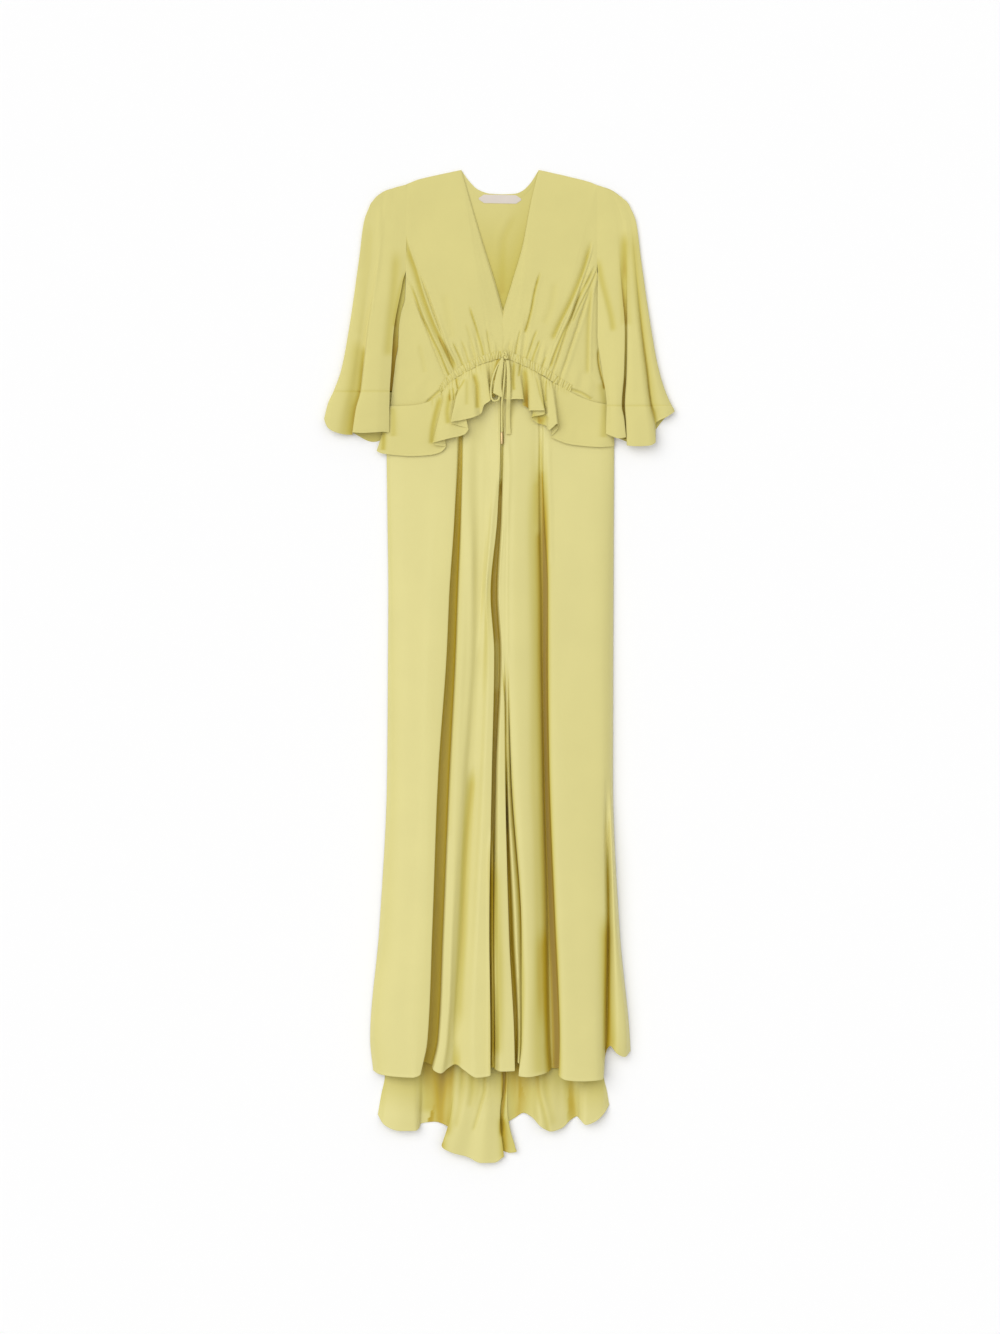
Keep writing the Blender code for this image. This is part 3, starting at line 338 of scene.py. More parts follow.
SKIRT_FRONT_RIGHT = [Skirt(*row) for row in (
    ("centre_seam", -2, -5.6, -14, -8.5, -14.4, -17.6, -16.5, -18, 1481, 5),
    ("centre_floor", -0.6, -4.3, -12, -6.6, -12.8, -16, -14.8, -16, 1481, 5),
    ("centre_slope", 0.6, -2.6, -9, -3.6, -11.4, -13.8, -12.4, -12.3, 1484, 16),
    ("strip_crest", 2.2, -0.4, -6, -1, -6.5, -7, -4, -3, 1487, 27, 28, 790),
    ("strip_lip", 3.8, 1.6, -1.5, 1.2, 3, 9, 18, 19, 1486, 26, 28.5, 790),
    ("slit_tuck", 5.2, 3.5, 2, 2, 3, 9.5, 16, 18, 1478, 14, 29, 790),
    ("slit_floor", 6.6, 5, 3.6, 4, 5.5, 13.5, 22, 22, 1471, 5, 29, 790),
    ("wedge", 8.4, 7, 5.5, 6, 9, 21.5, 27.5, 26, 1474, 23, 29.5, 790),
    ("mid_tuck", 10.4, 9, 7.5, 8.5, 13.5, 31, 33, 30, 1483, 14, 30, 790),
    ("mid_lip", 13, 11.5, 10, 10.5, 15, 31, 31, 26, 1494, 28, 30, 790),
    ("mid_crest", 21, 19.5, 18, 19.5, 26, 38, 41, 40, 1496, 31),
    ("mid_panel", 40, 40, 41, 42, 46, 54, 57, 60, 1493, 27),
    ("mid_slope", 57, 57.5, 59.5, 60.5, 63.5, 70, 72, 75, 1488, 16),
    ("third_floor", 61, 62, 64.5, 65, 68, 75, 78, 81, 1483, 5),
    ("third_tuck", 64, 67.5, 74.5, 73.5, 77, 87, 95, 97, 1483, 9),
    ("third_lip", 68, 70, 74.5, 74.5, 77, 87, 94, 92, 1493, 29),
    ("third_crest", 78, 80, 83, 84.5, 87, 97, 104, 104, 1501, 32),
    ("outer_crest", 104, 105, 107, 108, 111, 120, 127, 132, 1503, 30),
    ("outer_panel", 134, 134.5, 135, 136, 139, 147, 152, 153, 1502, 27),
    ("fourth_lip", 160, 160.5, 161, 161.5, 163, 168, 164, 164, 1500, 20, 23, 980),
    ("fourth_floor", 169, 169, 169, 169, 170, 174, 171, 169, 1459, 6, 19, 980),
    ("flap_slope", 174.5, 174, 174, 174, 174, 178, 178.5, 177, 1446, 11, 15, 980),
    ("flap_crest", 178, 177.5, 177, 177, 177, 184, 191, 189, 1459, 18, 11, 980),
    ("flap_roll", 181, 180.5, 180, 179.5, 179, 188, 202, 200, 1464, 14, 6, 980),
    ("side", 183, 182.5, 182, 181.5, 181, 192, 209, 210, 1455, 0),
)]
SKIRT_BACK_LEFT = [Train(*row) for row in (
    ("side", -186, -188, -203, -195, -201, -206.5, 1560, 0),
    ("outer_roll", -177, -178, -190, -185, -191, -196, 1576, 11),
    ("outer_crest", -157, -160, -167, -165, -168, -170, 1586, 15),
    ("outer_slope", -137, -140, -145, -147, -147, -145, 1586, 13),
    ("outer_lip", -130, -134, -139, -139, -139, -139, 1582, 8),
    ("recess_edge", -121, -126, -130, -131, -133, -136, 1575, 1),
    ("recess", -104, -107, -111, -111, -111, -113, 1572, 0),
    ("recess_slope", -84, -87, -91, -92, -93, -95, 1577, 4),
    ("tail_edge", -69, -73, -76, -78, -84, -88, 1583, 9),
    ("tail_flare", -56, -59, -63, -66, -80, -101, 1611, 12),
    ("tail_outer", -43, -46, -48, -52, -66, -84, 1622, 14),
    ("tail_ridge", -30, -33, -33, -36, -46, -59, 1629, 11),
    ("tail_crest", -18, -20, -21, -23, -30, -36, 1639, 13),
    ("tail_roll", -8, -9, -9, -10, -15, -15, 1639, 9),
    ("centre_seam", -0.5, -0.5, -0.5, 0, -6, 1, 1629, 6),
)]
SKIRT_BACK_RIGHT = [Train(*row) for row in (
    ("centre_seam", 0.5, 0.5, 0.5, 1, -6.5, 1, 1620, 0),
    ("tip_roll", 3, 3, 3, 3, -1, 11, 1623, 3),
    ("tip_fold", 6, 6, 6, 5.5, 5, 22, 1621, 7),
    ("tip_return", 12, 12, 11, 9, 6.5, 4.5, 1576, 5),
    ("recess", 24, 24, 22, 20, 20, 20, 1565, 0),
    ("recess_edge", 38, 38, 36, 34, 34, 34, 1557, 2),
    ("ridge_slope", 51, 51, 51, 47, 47, 48, 1564, 7),
    ("ridge", 66, 66, 66, 61, 63, 64, 1580, 17),
    ("ridge_roll", 79, 79, 79, 76, 78, 79, 1587, 14),
    ("low_panel", 94, 94, 94, 92, 94, 97, 1582, 8),
    ("low_slope", 111, 109, 109, 106, 108, 111, 1569, 3),
    ("second_valley", 124, 122, 120, 119, 120, 122, 1563, 0),
    ("outer_lip", 135, 134, 130, 129, 128, 128, 1568, 10),
    ("outer_crest", 147, 145, 142, 140, 138, 137, 1576, 16),
    ("outer_panel", 162, 158, 153, 152, 152, 153, 1570, 14),
    ("outer_roll", 173, 170, 165, 161, 165, 167, 1557, 9),
    ("side", 182, 180, 175, 166, 171, 175, 1544, 0),
)]
BODICE_LEFT = [Gather(*row) for row in (
    ("side", -177, 313, -186, 390, 1.6, 1.6),
    ("side_low", -173, 292, -173, 391, 1.6, 2.6, 1, 60),
    ("side_high", -172, 261, -157, 391, 1.6, 3),
    ("tuck_rise", -168, 235, -139, 388, 1.6, 3.5, 2.5, 40),
    ("under_tuck", -162, 214, -120, 382, 1.6, 4.2, -1.5, 40),
    ("tuck_ridge", -161, 196, -102, 370, 1.6, 5, 2, 60),
    ("second_slope", -160.5, 186, -93, 358.5, 1.8, 5.6, 1.5, 190),
    ("second_crease", -160.5, 178, -89, 354, 1.8, 6, -4.5, 195),
    ("ridge_low", -160.5, 170, -86, 351.5, 1.8, 6, 2.5, 190),
    ("bright_ridge", -160.5, 145, -82, 348, 2, 6.2, 3.2, 215),
    ("ridge_high", -160.5, 119, -79, 344.5, 2.2, 6.3, 2, 225),
    ("first_crease", -160.5, 108, -76, 342, 2.2, 6.4, -5, 240),
    ("first_shoulder", -160.5, 97, -72.5, 340, 2.2, 6.5, 2.5, 190),
    ("shoulder_flat", -160.5, 72, -69, 338.2, 2.2, 6.5),
    ("gather_1", -160.5, 47, -64, 335, 2, 6.5, -3, 55),
    ("armhole_top", -160.5, 24, -59, 332, 1.8, 6.5, 2, 50),
    ("gather_2", -152, 20.5, -54, 330, 1.8, 6.5, -2.5, 50),
    ("ridge_2", -140, 15.8, -49, 327, 1.8, 6.5, 2, 50),
    ("gather_3", -129, 13, -44, 325, 1.8, 6.5, -3.5, 55),
    ("ridge_3", -116, 10, -39, 322, 1.8, 6.5, 2, 50),
    ("gather_4", -104, 7.5, -34, 320, 1.8, 6.5, -4.5, 70),
    ("ridge_4", -92, 5, -30, 319, 1.8, 6.5, 2.5, 55),
    ("gather_5", -81, 2.4, -26, 317, 1.8, 6.5, -2, 40),
    ("neck_point", -69, 0, -21, 316, 1.8, 6.5, 2, 40),
    ("neck_gather", -48, 73, -16, 314, 3, 6.5, -3, 45),
    ("neck_middle", -30, 133, -12, 313, 4, 6.5, 1.5, 35),
    ("neck_low", -13, 187, -7, 312, 5, 6.5, -2, 30),
    ("centre", -0.6, 234, -0.6, 311, 5.5, 6.5, 0.5, 30),
)]
BODICE_RIGHT = [Gather(*row) for row in (
    ("centre", 0.6, 234, 0.6, 311, 5.5, 6.5, 0.5, 30),
    ("neck_low", 16, 183, 7, 312, 5, 6.5, -2, 30),
    ("neck_middle", 33, 124, 13, 314, 4, 6.5, 1.5, 40),
    ("neck_gather", 46, 55, 20, 317, 3, 6.5, -3, 40),
    ("neck_point", 59, 0, 26, 319, 1.8, 6.5, 2, 40),
    ("gather_5", 71, 2.4, 31, 322, 1.8, 6.5, -4.5, 95),
    ("ridge_4", 84, 5.5, 37, 324, 1.8, 6.5, 2.5, 60),
    ("gather_4", 97, 8.3, 43, 327, 1.8, 6.5, -2, 45),
    ("ridge_3", 111, 11.7, 48, 330, 1.8, 6.5, 2, 50),
    ("gather_3", 124, 14.8, 53, 332, 1.8, 6.5, -3, 60),
    ("ridge_2", 137, 18.2, 58, 335, 1.8, 6.5, 2, 50),
    ("gather_2", 147, 21.5, 63, 338, 1.8, 6.5, -2.5, 55),
    ("armhole_top", 155, 25, 68, 340, 1.8, 6.5, 2, 60),
    ("shoulder_flat", 155, 75, 71.5, 342.7, 2, 6.5),
    ("first_shoulder", 155, 106, 75, 345, 2.2, 6.5, 2.5, 200),
    ("first_crease", 155, 118, 78, 347, 2.2, 6.4, -5, 235),
    ("ridge_high", 155, 130, 81, 349, 2.1, 6.3, 3, 225),
    ("bright_ridge", 155, 142, 84, 351, 2, 6.2, 3.2, 215),
    ("ridge_low", 155, 153, 87.5, 353, 1.9, 6.1, 2, 205),
    ("second_crease", 155, 163, 91, 355, 1.8, 6, -4.5, 205),
    ("second_slope", 156.5, 175, 95, 358, 1.7, 5.8, 1.5, 190),
    ("side_slope", 158, 187, 101, 362, 1.6, 5.4),
    ("tuck_ridge", 161, 214, 111, 367, 1.6, 5, 2, 60),
    ("under_tuck", 164, 232, 124, 374, 1.6, 4.2, -1.5, 40),
    ("tuck_rise", 167, 248, 137, 379, 1.6, 3.5, 2.5, 40),
    ("side_high", 171, 273, 150, 383, 1.6, 3),
    ("side_low", 173, 298, 167, 387, 1.6, 2.6, 1, 60),
    ("side", 178, 347, 182, 390, 1.6, 1.6),
)]
FLOUNCE_LEFT = [Ruffle(*row) for row in (
    ("return", -178, 392, -190, 462, 0),
    ("return_edge", -184, 391.5, -208, 464, 3),
    ("side_fold", -186, 391, -201, 468, 7),
    ("side_panel", -175, 391, -188, 470, 5),
    ("flat_outer", -150, 390, -152, 473, 2),
    ("flat_middle", -125, 385, -119, 471, 2),
    ("flat_inner", -111, 377, -102, 466, 2),
    ("first_corner", -103, 372, -94, 457, 4.5),
    ("first_return", -98, 365, -106, 456, 8),
    ("first_edge", -92, 358, -116, 453, 12),
    ("first_top", -86, 351, -92, 445, 14.5),
    ("first_roll", -80, 346, -63, 437, 12),
    ("second_corner", -76, 343, -57, 429, 15),
    ("second_return", -72, 340, -73, 423, 18),
    ("second_edge", -68, 338, -86, 418, 21),
    ("second_top", -62, 334, -68, 414, 23),
    ("second_roll", -55, 331, -48, 409, 20),
    ("third_dip", -48, 327, -36, 402, 13),
    ("third_rise", -40, 323, -31, 389, 18),
    ("third_edge", -31, 320, -21, 381, 18),
    ("third_tuck", -26, 318, -21, 377, 10),
    ("recess", -21, 317, -23, 374, 4),
    ("recess_edge", -16, 315, -13, 375, 4),
    ("centre_edge", -11, 314, -16, 370, 12),
    ("centre_top", -6, 312.5, -8, 374, 13),
    ("centre", -0.6, 311, -0.6, 378, 11),
)]
FLOUNCE_RIGHT = [Ruffle(*row) for row in (
    ("centre", 0.6, 311, 0.6, 378, 11),
    ("first_rise", 7, 313, 9, 380, 14),
    ("first_top", 15, 316, 21, 379, 16),
    ("first_edge", 23, 319, 34, 380, 14),
    ("first_tuck", 28, 321, 34, 384, 8),
    ("recess", 33, 323, 32, 387, 4),
    ("recess_edge", 38, 325, 42, 394, 4),
    ("second_rise", 43, 328, 43, 398, 12),
    ("second_top", 49, 331, 56, 398, 18),
    ("second_edge", 56, 335, 68, 398, 18),
    ("second_tuck", 60, 337, 69, 403, 13),
    ("under_return", 64, 340, 47, 410, 10),
    ("under_fold", 67, 342, 56, 418, 6),
    ("under_panel", 71, 345, 71, 423, 8),
    ("third_edge", 75, 347, 76, 430, 16),
    ("third_top", 79, 350, 89, 420, 18),
    ("third_tuck", 83, 352, 91, 426, 11),
    ("third_return", 88, 355, 80, 441, 4),
    ("flat_inner", 95, 359, 91, 447, 2),
    ("flat_middle", 111, 368, 108, 453, 2),
    ("flat_low", 134, 379, 130, 456, 2),
    ("flat_outer", 157, 386, 160, 458, 2),
    ("side_roll", 171, 388.5, 175, 457, 1.5),
    ("side_crest", 176, 390, 179.5, 456.5, 1.5),
    ("side", 181, 391, 183.5, 456, 1),
)]
SLEEVE_LEFT = [Sleeve(*row) for row in (
    ("back_inner", -162, 24, -162, -162, -173, -179.3, -183, -189, 440, 0),
    ("back_mid", -180, 30, -181.4, -183, -200, -205.1, -208, -214, 449, 0),
    ("back_fold", -196, 35, -201.5, -208, -226, -234.2, -239, -256, 431, 0),
    ("back_outer", -213, 49, -221.5, -229, -248, -259, -270, -286, 425, 0),
    ("outer_edge", -219, 56, -229.5, -237.5, -255.8, -267.5, -280, -295.5, 411, 3),
    ("outer_roll", -215, 51, -224, -232, -251, -262, -272, -290, 425, 9),
    ("outer_panel", -209, 44, -216, -224, -241, -249.5, -257, -275, 434, 11),
    ("valley_side", -201, 38, -206.7, -214, -231, -238.6, -243, -257, 437.5, 6),
    ("valley", -196, 35, -201.9, -209, -226, -232.3, -236, -249, 437.5, 2),
    ("fold_edge", -191, 33, -197, -204, -222, -229.6, -234, -248.5, 434, 15),
    ("fold_crest", -184, 31, -188.3, -193, -213, -219.9, -224, -233, 435, 18),
    ("fold_panel", -175, 28, -178.4, -182, -201, -205.4, -208, -211, 434, 17),
    ("fold_roll", -167, 26, -169.5, -172, -189, -192.8, -195, -196, 433, 13),
    ("inner_edge", -162, 24, -162, -162, -181, -184.8, -187, -188, 434, 9.5),
)]
SLEEVE_RIGHT = [Sleeve(*row) for row in (
    ("back_inner", 156.5, 25, 156.5, 156.5, 171, 176.5, 182, 184, 441, 0),
    ("back_mid", 177, 32, 181.2, 186, 203, 209.6, 216, 223, 453, 0),
    ("back_outer", 198, 47, 211, 219, 237, 247.5, 266, 273, 405, 0),
    ("outer_edge", 208, 57, 219.5, 227.5, 246, 257.5, 279, 283.5, 399, 3),
    ("outer_panel", 203, 51, 216.5, 223.5, 239.5, 249, 264, 270.5, 408, 10),
    ("third_slope", 198, 47, 214, 220, 233, 240.6, 248, 258, 414, 7),
    ("second_valley", 195, 44, 211.5, 218, 230, 237.6, 245, 252, 419, 3),
    ("second_roll", 191, 42, 209, 215, 227, 234.6, 242, 252, 449, 12),
    ("second_panel", 187, 39, 206, 211, 221, 227.1, 233, 241, 456, 18),
    ("second_crest", 182, 36, 203, 208, 212, 215, 217, 220, 457, 18),
    ("second_lip", 179, 34, 200, 205, 205.5, 204.5, 201, 204, 455, 13),
    ("first_valley", 177, 33, 197, 201, 203.5, 203, 201, 205, 446, 2),
    ("first_tuck", 174, 32, 190.5, 194, 199.5, 199, 195, 197, 443, 7),
    ("first_lip", 172, 31, 186.5, 190.5, 201, 200, 196, 203, 442, 15),
    ("first_crest", 167, 29, 177, 183, 185, 185.5, 186, 190, 444, 18),
    ("first_panel", 162, 27, 165.4, 169, 168, 173, 178, 181, 441, 16),
    ("inner_edge", 156.5, 25, 156.5, 156.5, 156, 163.6, 171, 170, 436, 10),
)]

# Outline shared by front and back: side edges below the armholes and the line of the shoulders and back neck
LEFT_SIDE = [(-160.5, 24), (-160.5, 178), (-162, 214), (-168, 235), (-172, 261), (-173, 292), (-177, 313),
             (-180, 356), (-186, 391)]
RIGHT_SIDE = [(155, 25), (155, 163), (158, 189), (165, 232), (171, 273), (173, 298), (178, 347), (182, 391)]
BACK_TOP_EDGE = [(-160.5, 24), (-116, 10), (-69, 0), (-58, 16), (-40, 33), (-21, 39), (0, 40), (20, 39),
                 (31, 35), (45, 22), (59, 0), (111, 11.7), (155, 25)]

# Heights of the folds along a piece, as a share of each fold's full rise
SKIRT_SWELL = [(310, 0.0), (440, 0.28), (700, 0.72), (1000, 0.9), (1255, 1.0), (1435, 1.0), (1520, 1.0)]
TRAIN_SWELL = [(391, 0.0), (1430, 0.0), (1496, 0.28), (1540, 0.75), (1570, 1.0), (1640, 1.0)]
SLEEVE_SWELL = [(0, 0.02), (60, 0.03), (145, 0.14), (271, 0.6), (366, 0.88), (457, 1.0)]

# Routes across, down and height of the drawstring's parts
LOOP_ROUTE = [(-3.5, 315.6, 13), (-9, 324, 16), (-14.5, 337, 19.5), (-18.5, 352, 21.5), (-20, 366, 22.5),
              (-19.5, 376, 23), (-14.5, 382.5, 23), (-8, 380.5, 22.5), (-4.8, 370, 22), (-3.2, 352, 20.5),
              (-1.5, 334, 17.5), (-0.2, 317.6, 13.4)]
FLAP_LEFT_EDGE = [(-2.5, 311, 15.6), (-7, 324, 18.4), (-11, 338, 21.4), (-14, 352, 23.6), (-16.2, 369, 25)]
FLAP_RIGHT_EDGE = [(0.5, 311, 15.6), (0, 324, 18.4), (-2.2, 338, 21.4), (-3.5, 352, 23.6), (-0.5, 377.5, 25)]
LEFT_END_ROUTE = [(3.4, 317.4, 13.4), (3, 334, 17.8), (1.6, 352, 21.6), (0, 370, 23), (-1.6, 383, 21.5),
                  (-2.2, 396, 17.6), (-2.2, 410, 14.8), (-2, 433, 14.2)]
RIGHT_TIE_ROUTE = [(7.4, 315.2, 13.4), (9, 334, 19.5), (9.4, 354, 22), (9.2, 375, 24), (8.8, 386, 19.5),
                   (8.4, 398, 13.5), (8.2, 412, 11.6), (8.6, 426, 11.8), (9.2, 437, 11.9)]
KNOT_CENTRE = (3.2, 307.5, 13.9)
KNOT_HALF = (6.2, 7.6, 3.2)
KNOT_INSET = 1.5

# The label inside the back neck
LABEL_LEFT = -40.0
LABEL_RIGHT = 30.0
LABEL_TOP = 41.0
LABEL_BOTTOM = 55.0
LABEL_POINT = 10.0
LABEL_END_SHARE = 0.15
LABEL_TILT = 0.02

# What was cut for each piece as far as it shows, in metres and square metres; a tube's size is all round it
Cut = namedtuple("Cut", "node width length area held")

# Creases of a panel: width is half a crease's, and a lean of 1 makes its right twice as wide as its left
# shade is painted shade along a crease; a row of no depth only paints shade, and one below 0 takes it away
Crease = namedtuple("Crease", "name route width depth shade left_ridge right_ridge lean", defaults=(0, 0, 0))
BODICE_CREASES = [Crease(*row) for row in (
    ("armhole_left", [(-161, 102), (-159, 120), (-153, 140), (-144, 165), (-134, 200), (-123, 232),
     (-111, 262), (-101, 281), (-91, 300), (-83, 314), (-76, 332)], 3, 2.6, 0.6, 0.2, 1, -1.6),
    ("armpit_left", [(-156, 181), (-152, 190), (-143, 214), (-134, 240), (-125, 260), (-113, 286),
     (-105, 302), (-98, 319), (-91, 335), (-84, 347)], 1.6, 2, 0.55, 0.3, 1),
    ("tube_left", [(-109, 270), (-103, 284), (-97, 297), (-90, 312), (-81, 330)],
     1.3, 1.2, 0.4, 0.3, 0.3, 0.4),
    ("gather_left_1", [(-84, 283), (-80, 291), (-73.5, 305), (-68, 318), (-62.5, 334)],
     1.4, 1.4, 0.42, 0.3, 0.4, -0.4),
    ("gather_left_2", [(-70, 280), (-64, 294), (-60, 306), (-56, 320)], 1.3, 0.8, 0.25, 0.2, 0.2),
    ("gather_left_3", [(-62, 252), (-56, 272), (-50, 292), (-46, 312)], 2, 0.6, 0.12, 0.2, 0.2),
    ("gather_left_4", [(-56, 222), (-50.5, 241), (-44.5, 259), (-39.3, 277.6), (-35.8, 289), (-31, 310)],
     1.6, 2, 0.5, 0.2, 0.6, -0.6),
    ("gather_left_5", [(-27, 262), (-24.5, 282), (-21, 304)], 1.5, 0.8, 0.2, 0.2, 0.2),
    ("soft_left", [(-96, 200), (-92, 240), (-84, 280)], 6, 0.6, 0.06, 0.2, 0.2),
    ("side_left", [(-139, 285), (-133, 312), (-128, 336)], 3.2, 0.7, 0.08, 0.3, 0.3),
    ("armhole_right", [(147, 112), (140, 143), (134, 163), (127.5, 181), (120, 200), (111.5, 219), (103, 236),
     (94, 254), (87, 270), (81, 285)], 2.8, 2.4, 0.5, 0.2, 1.1, -1.5),
    ("armpit_right", [(155, 152), (151, 160), (141, 180), (130, 201), (121, 220), (112, 243), (101, 266),
     (92, 287), (83, 310), (76, 332)], 2, 1.9, 0.44, 1, 0.2, 0.8),
    ("third_right", [(158, 158), (149, 180), (135, 208), (122, 235), (114, 253)],
     1.3, 1.1, 0.26, 0.4, 0.2, 0.4),
    ("side_pleat", [(149, 182), (145, 210), (142.5, 240), (141, 270), (140.5, 300), (140, 340)],
     2.8, 1.2, 0.28, 0.1, 0.9, -1),
    ("slit_right", [(158, 292), (156.8, 308), (157.5, 318), (161, 336), (166, 354), (168, 364)],
     1.5, 1.6, 0.9),
    ("gather_right_1", [(62, 166), (56, 185), (51, 205), (46.5, 230), (41, 252), (35, 271)],
     1.7, 2.3, 0.62, 0.2, 0.6, 0.6),
    ("gather_right_2", [(29, 262), (25, 279), (22, 296), (20, 312)], 1.3, 1, 0.24, 0.3, 0.3),
    ("gather_right_3", [(57, 262), (51, 276), (45.5, 292), (41, 305), (38, 315)],
     1.5, 1.5, 0.4, 0.2, 0.5, 0.2),
    ("gather_right_4", [(61, 280), (56, 293), (52, 303), (47.5, 318)], 1.5, 1.4, 0.46, 0.2, 0.4),
    ("gather_right_5", [(71, 308), (67, 318), (62, 331)], 1.3, 1.1, 0.32, 0.2, 0.4),
    ("soft_right", [(87, 182), (79, 228), (67, 256)], 5, 0.7, 0.08, 0.2, 0.3),
    ("tuck_left", [(-128, 386), (-114, 373), (-103, 363)], 2, 1.6, 0.4, 0.9, 0.4),
    ("tuck_right", [(108, 361), (129, 368), (147, 379)], 1.9, 1.4, 0.3, 0.5, 0.9),
    ("beside_cuff", [(161, 348), (165, 368), (168, 388), (168, 410)], 5, 0.4, 0.35),
)]
FLOUNCE_CREASES = [Crease(*row) for row in (
    ("first_shadow", [(-100, 370), (-108, 390), (-113, 408), (-117, 430), (-119, 455)],
     3.8, 0.8, 0.57, 0, 0, 0.6),
    ("second_shadow", [(-88, 366), (-90, 384), (-92, 402), (-90, 421)], 3.4, 0.8, 0.49),
    ("third_shadow", [(-50, 333), (-47, 344), (-43.5, 358), (-43, 374), (-43, 396)], 3, 1, 0.68, 0, 0.3, 0.6),
    ("second_edge", [(-62.5, 344), (-66.7, 353), (-73, 363), (-79, 375)], 1.3, 1, 0.47, 0.3),
    ("first_gather", [(-77, 343), (-76.5, 351), (-74.5, 362)], 1.4, 1.2, 0.68, 0, 0.3),
    ("second_gather", [(-88, 361), (-88, 372), (-87, 383)], 1.3, 1, 0.54, 0.2, 0.2),
    ("third_gather", [(-83, 359), (-81.5, 369), (-81, 382)], 1.3, 1, 0.54, 0.2, 0.2),
    ("fourth_gather", [(-60, 343), (-59.5, 362), (-60, 390)], 2.6, 0.6, 0.24),
    ("recess_left", [(-23, 314), (-22.5, 335), (-21, 350), (-20.5, 366), (-20.5, 384)], 4.2, 0.2, 0.08),
    ("beside_knot", [(-3, 300), (-6.5, 311), (-10, 321), (-12.5, 333), (-14.5, 350)], 2.2, 0.5, 0.75),
    ("inside_loop", [(-19, 372), (-12, 375), (-5, 379)], 4, 0.4, 0.4),
    ("beside_tie", [(-2, 328), (-2, 343), (-2.3, 355), (-1, 370)], 1.6, 0.6, 0.8),
    ("recess_right", [(9, 318), (11, 338), (11, 352), (9, 370)], 3.4, 0.8, 0.35),
    ("gather_right", [(18.5, 316), (17.5, 332), (17, 346), (18, 366)], 2, 0.9, 0.61, 0, 0.3),
    ("fine_right", [(29, 320), (27, 330), (25.5, 342)], 1.3, 1, 0.54, 0, 0.2),
    ("first_right", [(35, 324), (38, 345), (39.5, 362), (39.5, 380), (40, 400)], 3.6, 0.9, 0.62, 0, 0, -0.8),
    ("edge_right", [(54, 340), (57, 354), (60, 368), (65, 384), (70, 399)], 1.3, 0.6, 0.3, 0.4, 0, 0.6),
    ("second_right", [(62, 341), (64, 358), (67, 375), (71, 396)], 3, -1.2, 0.2),
    ("third_right", [(72, 345), (70.5, 362), (71, 384)], 1.2, 0.8, 0.4, 0, 0.4),
    ("turned_right", [(44, 400), (55, 410), (62, 414), (74, 406)], 4.5, 0.2, 0.4),
    ("beside_cuff_left", [(-183, 388), (-181, 412), (-181, 442)], 4.5, 0.4, 0.35),
    ("return_left", [(-197, 430), (-197, 446), (-198, 464)], 3.5, 0.2, 0.6),
    ("beside_cuff_right", [(168, 380), (168, 400), (167, 415), (166, 444)], 5, 0.4, 0.35),
)]
BACK_CREASES = [Crease(*row) for row in (
    ("inside_back", [(24, 66), (9, 96), (1, 116), (-1, 160), (-2, 210)], 5, 0.8, 0.12, 0.5),
)]
SLEEVE_LEFT_CREASES = [Crease(*row) for row in (
    ("upper_fill", [(-202, 50), (-207, 145), (-215, 200), (-224, 271), (-228, 305)], 5, -2, -0.5),
    ("upper_soft", [(-218, 80), (-224, 150), (-230, 215), (-236, 280)], 8, 0.5, 0.1),
    ("outer_valley", [(-236, 270), (-242, 325), (-247, 360), (-252, 395), (-259, 445)],
     7.5, 0.6, 0.34, 0, 0.8, -0.8),
    ("inner_soft", [(-176, 125), (-179, 180), (-182, 215), (-185, 240), (-188, 275), (-191, 312)],
     6.5, 0.6, 0.34, 0.2, 0, 0.3),
    ("inner_deep", [(-158, 160), (-165, 180), (-170, 200), (-173, 215), (-177, 238), (-180, 262)],
     2.6, 0.3, 0.34),
)]
SLEEVE_RIGHT_CREASES = [Crease(*row) for row in (
    ("from_armpit", [(155, 140), (162, 180), (168, 203), (173, 222), (178, 243), (182, 270)],
     4.2, 1.2, 0.42, 0.2, 0.2, 0.4),
    ("first_band", [(200, 96), (200.5, 130), (200.5, 170), (201, 200), (202, 228), (204, 262)],
     5.6, 0.2, 0.48, 0, 0.6),
    ("first_light", [(200, 160), (202, 200), (203, 230), (203, 258), (205, 300), (204, 350)],
     3.2, -0.4, -0.42),
    ("second_fill", [(212, 80), (217, 145), (221, 190), (225, 230), (230, 271), (235, 315), (241, 355),
     (246, 392), (253, 424)], 5, -1.2, 0.36, 0, 0, 0.6),
)]
